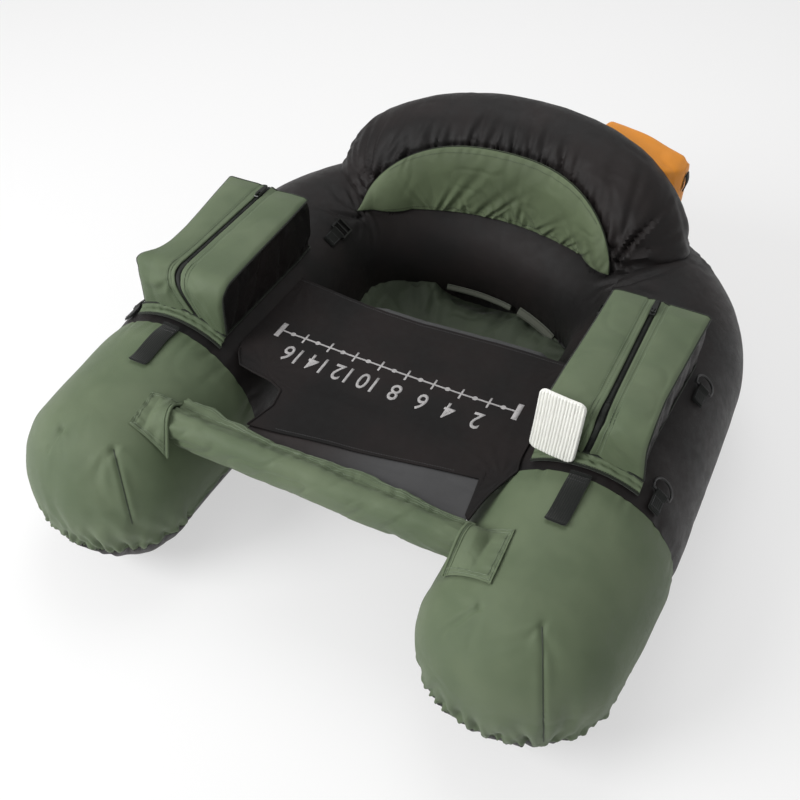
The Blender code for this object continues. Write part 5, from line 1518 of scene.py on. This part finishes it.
def build_bar_pocket(side, label, seed):
    """Patch sewn on the nose and drawn over the bar's end, with a double bound mouth."""
    along, across = np.meshgrid(np.linspace(0, 1, 80), np.linspace(0, 1, 64), indexing="ij")
    front_in, front_out, rear_in, rear_out = np.array(CUFF_CORNERS[side])
    share_in = along[..., None]
    share_out = across[..., None]
    plan = ((1 - share_in) * ((1 - share_out) * front_in + share_out * front_out)
            + share_in * ((1 - share_out) * rear_in + share_out * rear_out))
    x, y = plan[..., 0], plan[..., 1]
    radius = tube_radius_at(y)
    rise = np.sqrt(np.maximum(radius ** 2 - (leg_x_at(y) - x) ** 2, 1e-6))
    z_tube = TUBE_Z + rise + 0.0022 * np.minimum(radius / rise, 1.8)
    over = np.abs(y - BAR_Y)
    fade = np.clip((x - 0.276) / 0.032, 0, 1)
    dome = np.sqrt(np.maximum(CUFF_DOME_RADIUS ** 2 - over ** 2, 0)) * (1 - fade ** 2)
    bar_cloth = np.where(over < CUFF_DOME_RADIUS * 0.95, BAR_HEIGHT + dome - 0.012 * fade, 0)
    z = -np.maximum(z_tube, bar_cloth)
    z = -np.transpose([taut(places, depths) for places, depths in zip(y.T, z.T)])
    for _ in range(5):
        smoothed(z)
        smoothed(z.T)
    end_gap = np.minimum(along, 1 - along) * CUFF_LENGTH
    side_gap = (1 - across) * CUFF_WIDTH
    puffed = np.clip(end_gap / 0.028, 0, 1) ** 0.6
    z = z + 0.0050 * puffed * np.clip((side_gap - 0.004) / 0.020, 0, 1) ** 0.7
    grid = np.stack([side * x, y, z], -1)
    shape = drift(grid, 0.035, seed) * 0.0012 + creases(grid, 0.03, seed + 1) * 0.0009
    spots = pleat_spots(-0.50, -0.38, 0.018, 0.0020, 0.004, 0.022, seed + 2)
    shape += gathers(y, (1 - across) * 0.08, spots)
    shape += gathers(x, end_gap, pleat_spots(0.24, 0.33, 0.018, 0.0020, 0.004, 0.020, seed + 3))
    grid[..., 2] += shape * np.clip(np.minimum(end_gap, side_gap) / 0.006, 0.1, 1)
    piece = Piece(label + "_bar_pocket_cloth")
    piece.slab(grid, CUFF_THICKNESS)
    normal = normals_of(grid, False)
    normal *= np.sign(normal[..., 2].mean())
    for inset in (3, 7):
        row, facing = (np.concatenate([field[inset, :-inset], field[inset:-inset, -inset - 1],
                                       field[-inset - 1, -inset - 1::-1]]) for field in (grid, normal))
        piece.stitches(row + facing * 0.0003, facing, 1, 0.004)
    for column, thick in ((0, 0.0026), (6, 0.0011)):
        mouth = evenly(grid[1:-1, column] + UP * 0.0004, 0.003)
        piece.roll(mouth, thick, 8, normals=(side * -1.0, 0, 0.4))
    piece.stitches(grid[2:-2, 3] + normal[2:-2, 3] * 0.0006, normal[2:-2, 3])
    turn = 2 * math.pi * np.arange(40) / 40
    cup = []
    for place, size in ((0.264, 0.0), (0.264, 1.0), (0.272, 1.0), (0.282, 0.9), (0.288, 0.7)):
        reach = BAR_RADIUS + 0.0008 + 0.0020 * size
        cup.append(np.stack([0 * turn + side * place, BAR_Y + np.cos(turn) * reach,
                             BAR_HEIGHT + np.sin(turn) * reach], 1))
    piece.tube(np.array(cup))
    piece.make(["green", "green_thread", "green_binding"], ROOT, [label + "_bar_pocket"])


# Apron, ruler and seat

def inset_at(height):
    """Distance from the tube's centre line to its wall, at a height."""
    return math.sqrt(TUBE_RADIUS ** 2 - (height - TUBE_Z) ** 2)


APRON_HALF = LEG_X - inset_at(APRON_HEIGHT)


def apron_height(x, y):
    """Top of the apron: sagged across, with faint pulls from its corners."""
    base = APRON_HEIGHT - APRON_SAG * (1 - (x / APRON_HALF) ** 2)
    pull = np.zeros(x.shape)
    for corner_x, corner_y in ((-0.26, -0.02), (0.26, -0.02), (0.26, -0.30), (-0.2, -0.25)):
        distance = np.hypot(x - corner_x, y - corner_y)
        rays = np.cos(np.arctan2(y - corner_y, x - corner_x) * 14)
        pull = pull + 0.0004 * rays * np.exp(-(distance / 0.10) ** 2) * np.clip(distance / 0.02, 0, 1)
    field = np.stack([x, y, 0 * x], -1)
    return base + pull + drift(field, 0.10, 91) * 0.0016 + creases(field, 0.08, 92) * 0.0008


# Edges of the apron seen from above: its left and right edges against the place along the tube, its front
# and rear edges against the place across it
APRON_NOTCH = ((-0.375, -0.156), (-0.320, -0.142), (-0.281, -0.149), (-0.270, -0.176), (-0.264, -0.243),
               (-0.240, -0.262), (-0.215, -0.2722), (0.1, -0.2722))
APRON_RIGHT = ((-0.375, 0.2475), (-0.346, 0.2515), (-0.322, 0.2566), (-0.300, 0.2640), (-0.272, 0.2745),
               (-0.25, 0.29))
APRON_FRONT = ((-0.156, -0.375), (-0.115, -0.369), (-0.064, -0.3605), (-0.013, -0.352), (0.038, -0.345),
               (0.103, -0.333), (0.167, -0.3216), (0.229, -0.3127), (0.2335, -0.345), (0.238, -0.386),
               (0.246, -0.394), (0.275, -0.394))
APRON_REAR = ((-0.28, -0.006), (-0.20, -0.012), (-0.12, -0.018), (-0.03, -0.018), (0.06, -0.013),
              (0.135, -0.008), (0.28, -0.006))


def plan_area(grid):
    """Area that a grid of points covers, seen from above."""
    one = grid[1:, 1:, :2] - grid[:-1, :-1, :2]
    two = grid[1:, :-1, :2] - grid[:-1, 1:, :2]
    return float(np.abs(one[..., 0] * two[..., 1] - one[..., 1] * two[..., 0]).sum() / 2)


HEM_RADIUS = 0.0038
HEM_FLATNESS = 0.55
WEDGE_THICKNESS = 0.0018


def build_apron():
    """Apron between the legs, cut round the left knee, with its hem."""
    v = np.linspace(0, 1, 110)[:, None]
    start, end = APRON_FRONT[0][1], APRON_REAR[0][1]
    ys = start + (end - start) * v
    left = table_at(APRON_NOTCH, ys)
    right = leg_x_at(ys) - np.sqrt(tube_radius_at(ys) ** 2 - (APRON_HEIGHT - TUBE_Z) ** 2) - 0.0006
    right = np.minimum(right, table_at(APRON_RIGHT, ys))
    x = left + (right - left) * np.linspace(0, 1, 260)[None]
    y = ys + (table_at(APRON_FRONT, x) - start) * (1 - v) ** 2 + (table_at(APRON_REAR, x) - end) * v
    grid = np.stack([x, y, apron_height(x, y)], -1)
    piece = Piece("apron_cloth")
    piece.slab(grid, COVER_THICKNESS)
    for row in (grid[2, 30:-40], grid[-3]):
        piece.stitches(row + UP * 0.0002, UP)
    piece.roll(evenly(grid[:44, 0] + np.array((0.0012, 0, 0.0004)), 0.003), 0.0017, 7)
    piece.roll(evenly(grid[:56, -1] + np.array((-0.0010, 0, 0.0006)), 0.003), 0.0021, 8)
    item = piece.make(["apron", "black_thread"], ROOT, ["apron"])

    hem = Piece("apron_hem_webbing")
    xs = np.linspace(-APRON_HALF + 0.003, APRON_HALF - 0.003, 130)
    ys = table_at(APRON_REAR, xs) + 0.0040
    path = np.stack([xs, ys, apron_height(xs, ys) - 0.0004], 1)
    path[:, 2] += drift(path, 0.03, 94) * 0.0007
    path[:, 2] -= 0.0085 * (np.clip((-0.085 - xs) / 0.03, 0, 1) + np.clip((xs - 0.212) / 0.015, 0, 1))
    hem.roll(path, HEM_RADIUS, 14, flat=HEM_FLATNESS)
    hem.stitches(path + np.array((0, -0.0020, 0.0020)), UP)
    trim = hem.make(["grey", "dark_thread"], ROOT, ["apron_hem"])
    plan_area(grid)


def build_wedge():
    """Strip between the apron and the bar sleeve: black cloth with a painted highlight that turns it grey
    towards its right end.
    """
    xs = np.linspace(-0.152, 0.243, 150)
    share = np.linspace(0, 1, 24)[:, None]
    rear_y = table_at(APRON_FRONT[:8], xs) + 0.012
    y = rear_y[None] + (BAR_Y + 0.029 - rear_y)[None] * share
    x = np.broadcast_to(xs, y.shape)
    grid = np.stack([x, y, apron_height(x, y) - 0.0030 + 0.0010 * share], -1)
    grid[..., 2] += creases(grid * np.array((0.5, 1.6, 1)), 0.03, 95) * 0.0012 * np.sin(share * math.pi)
    piece = Piece("apron_wedge_cloth")
    piece.slab(grid, WEDGE_THICKNESS)
    item = piece.make(["wedge"], ROOT, ["apron_wedge"])
    plan_area(grid)


INCH = 0.0254
RULER_HALF = 9 * INCH
RULER_Y = -0.1525
PRINT_LIFT = 0.0005
PRINT_THICKNESS = 0.0004
NUMBER_HEIGHT = 0.053


def on_apron(flat):
    """Points just above the apron, from their places across and along."""
    return np.concatenate([flat, apron_height(flat[..., 0], flat[..., 1])[..., None] + PRINT_LIFT], -1)


def ruler_line(piece, start, end, width, count):
    """Printed line from one place to another."""
    path = evenly([start, end], 1, count)
    way = unit(path[-1] - path[0])
    side = np.array((-way[1], way[0])) * width / 2
    piece.slab(on_apron(np.stack([path + side, path - side], 1)), PRINT_THICKNESS)


def ruler_number(number):
    """A number of the ruler, laid on the apron, upright for someone in the seat."""
    name = "ruler_number_%d" % number
    curve = bpy.data.curves.new(name, "FONT")
    curve.body = str(number)
    curve.size = NUMBER_HEIGHT
    curve.offset = 0.0005
    curve.align_x = "CENTER"
    curve.align_y = "CENTER"
    text = bpy.data.objects.new(name, curve)
    bpy.context.scene.collection.objects.link(text)
    x = (RULER_HALF - number * INCH) * 0.985
    text.matrix_world = (Matrix.Translation((x, RULER_Y - 0.0450, APRON_HEIGHT))
                         @ Matrix.Rotation(math.pi, 4, "Z") @ Matrix.Diagonal((0.78, 1, 1, 1)))
    bpy.context.view_layer.update()
    mesh = bpy.data.meshes.new_from_object(text)
    mesh.transform(text.matrix_world)
    bpy.data.objects.remove(text)
    shape = bmesh.new()
    shape.from_mesh(mesh)
    bmesh.ops.triangulate(shape, faces=shape.faces)
    long_edges = [edge for edge in shape.edges if edge.calc_length() > 0.006]
    bmesh.ops.subdivide_edges(shape, edges=long_edges, cuts=2, use_grid_fill=False)
    places = np.array([vertex.co for vertex in shape.verts])
    heights = apron_height(places[:, 0], places[:, 1]) + PRINT_LIFT + 0.0001
    for vertex, height in zip(shape.verts, heights):
        vertex.co.z = height
    result = bmesh.ops.extrude_face_region(shape, geom=list(shape.faces))
    for part in result["geom"]:
        if isinstance(part, bmesh.types.BMVert):
            part.co.z -= PRINT_THICKNESS
    bmesh.ops.recalc_face_normals(shape, faces=shape.faces)
    shape.to_mesh(mesh)
    shape.free()
    mesh.materials.clear()
    mesh.materials.append(FINISHES["print"])
    item = bpy.data.objects.new(name, mesh)
    bpy.context.scene.collection.objects.link(item)
    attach(item, ROOT)


def build_ruler():
    """Printed ruler on the apron: line, ticks, dots and plain numbers, read from the seat."""
    piece = Piece("apron_ruler_print")
    ruler_line(piece, (-RULER_HALF, RULER_Y), (RULER_HALF, RULER_Y), 0.0032, 60)
    for x in (-RULER_HALF, RULER_HALF):
        ruler_line(piece, (x, RULER_Y - 0.019), (x, RULER_Y + 0.019), 0.0095, 8)
    for number in range(2, 18, 2):
        x = RULER_HALF - number * INCH
        ruler_line(piece, (x, RULER_Y - 0.0125), (x, RULER_Y + 0.0125), 0.0034, 4)
    turn = np.linspace(0, 2 * math.pi, 13)[:-1]
    circle = np.stack([np.cos(turn), np.sin(turn)], 1) * 0.0048
    for number in range(1, 18, 2):
        middle = np.array((RULER_HALF - number * INCH, RULER_Y))
        ring = on_apron(np.stack([middle + circle, middle + circle * 0.02], 1))
        piece.grid(np.concatenate([ring, ring[:1]]))
    piece.make(["print"], ROOT, sharp=80)
    for number in range(2, 18, 2):
        ruler_number(number)


SEAT_REAR_HALF = 0.168
SEAT_DEPTH = 0.36
SEAT_THICKNESS = 0.0020
SEAT_BINDING_RADIUS = 0.0022

# Height of the seat's rear edge, at places across
SEAT_EDGE = ((-0.22, 0.165), (-0.20, 0.155), (-0.164, 0.144), (-0.117, 0.137), (-0.100, 0.108),
             (-0.06, 0.078), (-0.007, 0.068), (0.04, 0.082), (0.0736, 0.102), (0.118, 0.090),
             (0.15, 0.100), (0.22, 0.118))


def seat_height(x, y):
    """Height of the sling, hung between the tube's walls and deepest behind its front edge."""
    across = np.maximum(1 - (x / (LEG_X - TUBE_RADIUS + 0.012)) ** 2, 0)
    along = np.clip((y - SEAT_FRONT_Y) / (0.2985 - SEAT_FRONT_Y), 0, 1)
    return SEAT_EDGE_HEIGHT - SEAT_SAG * across * np.sin(0.75 * math.pi * (1 - along))


def build_seat():
    """Sling seat: green cloth sewn to the tube's inner walls, pulled into scallops behind."""
    share = np.linspace(-1, 1, 150)[None]
    v = np.linspace(0, 1, 120)[:, None]
    rear_x = share * SEAT_REAR_HALF
    rear_y = tube_front(rear_x, table_at(SEAT_EDGE, rear_x)) + 0.003
    corner_y = rear_y[:, -1:].min()
    ys = SEAT_FRONT_Y + (corner_y - SEAT_FRONT_Y) * v
    centre, out = bend_at(np.linspace(0, math.pi / 2, 2000))
    inset = inset_at(SEAT_EDGE_HEIGHT) + 0.0006
    wall = centre - out * inset
    edge = np.where(ys < BEND_Y, LEG_X - inset, np.interp(ys, wall[:, 1], wall[:, 0]))
    x = share * (edge + 0.008 + (SEAT_REAR_HALF - edge) * v ** 30)
    y = ys + (rear_y - corner_y) * v ** 3
    side_gap = (1 - np.abs(share)) * edge
    rear_gap = (1 - v) * SEAT_DEPTH
    rim = np.minimum(side_gap, rear_gap)
    z = seat_height(x, y)
    pull = np.exp(-(rim / 0.045) ** 2) * np.clip((y - 0.05) / 0.08, 0, 1)
    z = z + (table_at(SEAT_EDGE, x) - z) * pull
    grid = np.stack([x, y, z], -1)
    pleats = gathers(y, side_gap, pleat_spots(SEAT_FRONT_Y, 0.27, 0.03, 0.0030, 0.006, 0.05, 96, 0.4))
    back = gathers(x, rear_gap, pleat_spots(-0.16, 0.16, 0.026, 0.0040, 0.006, 0.07, 97, 0.6))
    soft = drift(grid, 0.07, 98) * 0.0034 + creases(grid, 0.05, 99) * 0.0030
    grid[..., 2] += (pleats + back + soft) * np.clip(rim / 0.01, 0, 1)
    piece = Piece("seat_cloth")
    piece.slab(grid, SEAT_THICKNESS)
    piece.roll(evenly(grid[0] + np.array((0, 0.001, 0.0002)), 0.005), SEAT_BINDING_RADIUS, 7, 1)
    # The seat cloth's darker green is painted shade
    item = piece.make(["seat", "green_binding"], ROOT, ["seat_sling"])
    plan_area(grid) * 1.03


SEAT_WEBBING_THICKNESS = 0.0022

# Seat webbings: label, bearings and heights of both ends, and width
SEAT_WEBBINGS = (
    ("left", (111, 78), (0.134, 0.118), 0.0125),
    ("right", (73, 49), (0.122, 0.104), 0.0195),
)


def build_seat_webbing(label, turns, heights, width):
    """Grey webbing along the inner wall of the stern bend, just over the seat's edge."""
    centre, outward = bend_at(np.radians(np.linspace(*turns, 46)))
    height = np.linspace(*heights, 46)[:, None]
    inset = np.sqrt(TUBE_RADIUS ** 2 - (height - TUBE_Z) ** 2) + 0.0060
    path = np.concatenate([centre - outward * inset, height], 1)
    path[:, 2] += drift(path, 0.05, 101) * 0.0010
    normal = unit(np.concatenate([-outward, np.full((46, 1), 0.42)], 1))
    piece = Piece("seat_webbing_" + label + "_band")
    piece.band(path, normal, width, SEAT_WEBBING_THICKNESS)
    across = unit(np.cross(normal, np.gradient(path, axis=0)))
    for shift in (-0.36 * width, 0.36 * width):
        piece.stitches(path + normal * 0.0013 + across * shift, normal, 1, 0.0036)
    piece.make(["grey_webbing", "dark_thread"], ROOT, ["seat_webbing_" + label])


# Stage, lamps and camera

FLOOR_SIZE = 12
FLOOR_DROP = 0.0005

# Lamps: name, place, target, size and power
LAMPS = (
    ("key", (-2.1, -2.5, 2.3), (0, 0, 0.2), 2.0, 108),
    ("fill", (2.8, -2.0, 2.0), (0, 0, 0.2), 2.6, 4),
    ("top", (-0.6, 1.2, 3.4), (0, 0.1, 0.2), 2.2, 35),
)


def mix_shaders(tree, share, first, second, target):
    """Feed a socket with two shaders, mixed by a share."""
    mixer = tree.nodes.new("ShaderNodeMixShader")
    for source, socket in zip((share, first, second), mixer.inputs):
        tree.links.new(source, socket)
    tree.links.new(mixer.outputs[0], target)


def build_stage():
    """Pale floor that looks white to the camera, and white surroundings that light the part softly."""
    bpy.ops.object.select_all(action="DESELECT")
    bpy.ops.mesh.primitive_plane_add(size=FLOOR_SIZE, location=(0, 0, -FLOOR_DROP))
    floor = bpy.context.object
    floor.name = "floor"
    paint = Finish("floor_white", FLOOR_WHITE, 0.9, specular=0.1)
    direct = paint.node("ShaderNodeLightPath", "Is Camera Ray")
    glossy = paint.node("ShaderNodeLightPath", "Is Glossy Ray")
    seen = (direct + glossy).math("MULTIPLY", 0.55, clamp=True)
    paint.set("Emission Color", (1, 1, 1))
    glow = paint.tree.nodes.new("ShaderNodeEmission")
    mix_shaders(paint.tree, seen.socket, paint.shader.outputs[0], glow.outputs[0],
                paint.tree.nodes["Material Output"].inputs[0])
    floor.data.materials.append(paint.material)

    world = bpy.data.worlds.new("studio")
    bpy.context.scene.world = world
    world.use_nodes = True
    tree = world.node_tree
    fill = tree.nodes["Background"]
    white = tree.nodes.new("ShaderNodeBackground")
    for backdrop, strength in ((fill, 0.42), (white, 1.0)):
        backdrop.inputs["Color"].default_value = (1, 1, 1, 1)
        backdrop.inputs["Strength"].default_value = strength
    rays = tree.nodes.new("ShaderNodeLightPath")
    mix_shaders(tree, rays.outputs["Is Camera Ray"], fill.outputs[0], white.outputs[0],
                tree.nodes["World Output"].inputs[0])


def add_lamp(name, place, target, size, power):
    """Round soft lamp that looks at a target."""
    lamp = bpy.data.lights.new(name, "AREA")
    lamp.shape = "DISK"
    lamp.size = size
    lamp.energy = power
    item = bpy.data.objects.new(name, lamp)
    bpy.context.scene.collection.objects.link(item)
    item.location = place
    item.rotation_mode = "QUATERNION"
    item.rotation_quaternion = (Vector(target) - Vector(place)).to_track_quat("-Z", "Y")


def build_camera():
    """Camera of the photograph, its view shifted to the photograph's centre."""
    camera = bpy.data.cameras.new("camera")
    camera.sensor_width = SENSOR_WIDTH
    camera.lens = FOCAL_PIXELS / FRAME_PIXELS * SENSOR_WIDTH
    shift = (FRAME_PIXELS / 2 - VIEW_CENTRE_PIXELS) / FRAME_PIXELS
    camera.shift_x = shift
    camera.shift_y = -shift
    item = bpy.data.objects.new("camera", camera)
    bpy.context.scene.collection.objects.link(item)
    turn = (Matrix.Rotation(math.radians(CAMERA_AZIMUTH), 4, "Z")
            @ Matrix.Rotation(math.radians(90 - CAMERA_ELEVATION), 4, "X")
            @ Matrix.Rotation(math.radians(CAMERA_ROLL), 4, "Z"))
    item.matrix_world = Matrix.Translation(CAMERA_PLACE) @ turn
    bpy.context.scene.camera = item


def build():
    """Stage and camera first, then the pieces from the hull inwards."""
    build_stage()
    for lamp in LAMPS:
        add_lamp(*lamp)
    build_camera()
    build_tube()
    build_noses()
    build_arch()
    build_crescent()
    build_pouch()
    for (side, label), seed in zip(SIDES, (110, 140)):
        build_pocket(side, label, seed)
        build_rod_strap(side, label)
        build_ring(side, label, "front", -0.2255)
        build_ring(side, label, "rear", 0.027)
        build_buckle(side, label)
        build_bar_pocket(side, label, seed + 20)
        refinish(label + "_zip_slider", "zip_metal")
        refinish(label + "_zip_pull", "zip_metal")
    build_fly_patch()
    build_sleeve()
    build_apron()
    build_wedge()
    build_ruler()
    build_seat()
    for webbing in SEAT_WEBBINGS:
        build_seat_webbing(*webbing)
    bpy.context.scene.view_settings.view_transform = "Standard"


build()
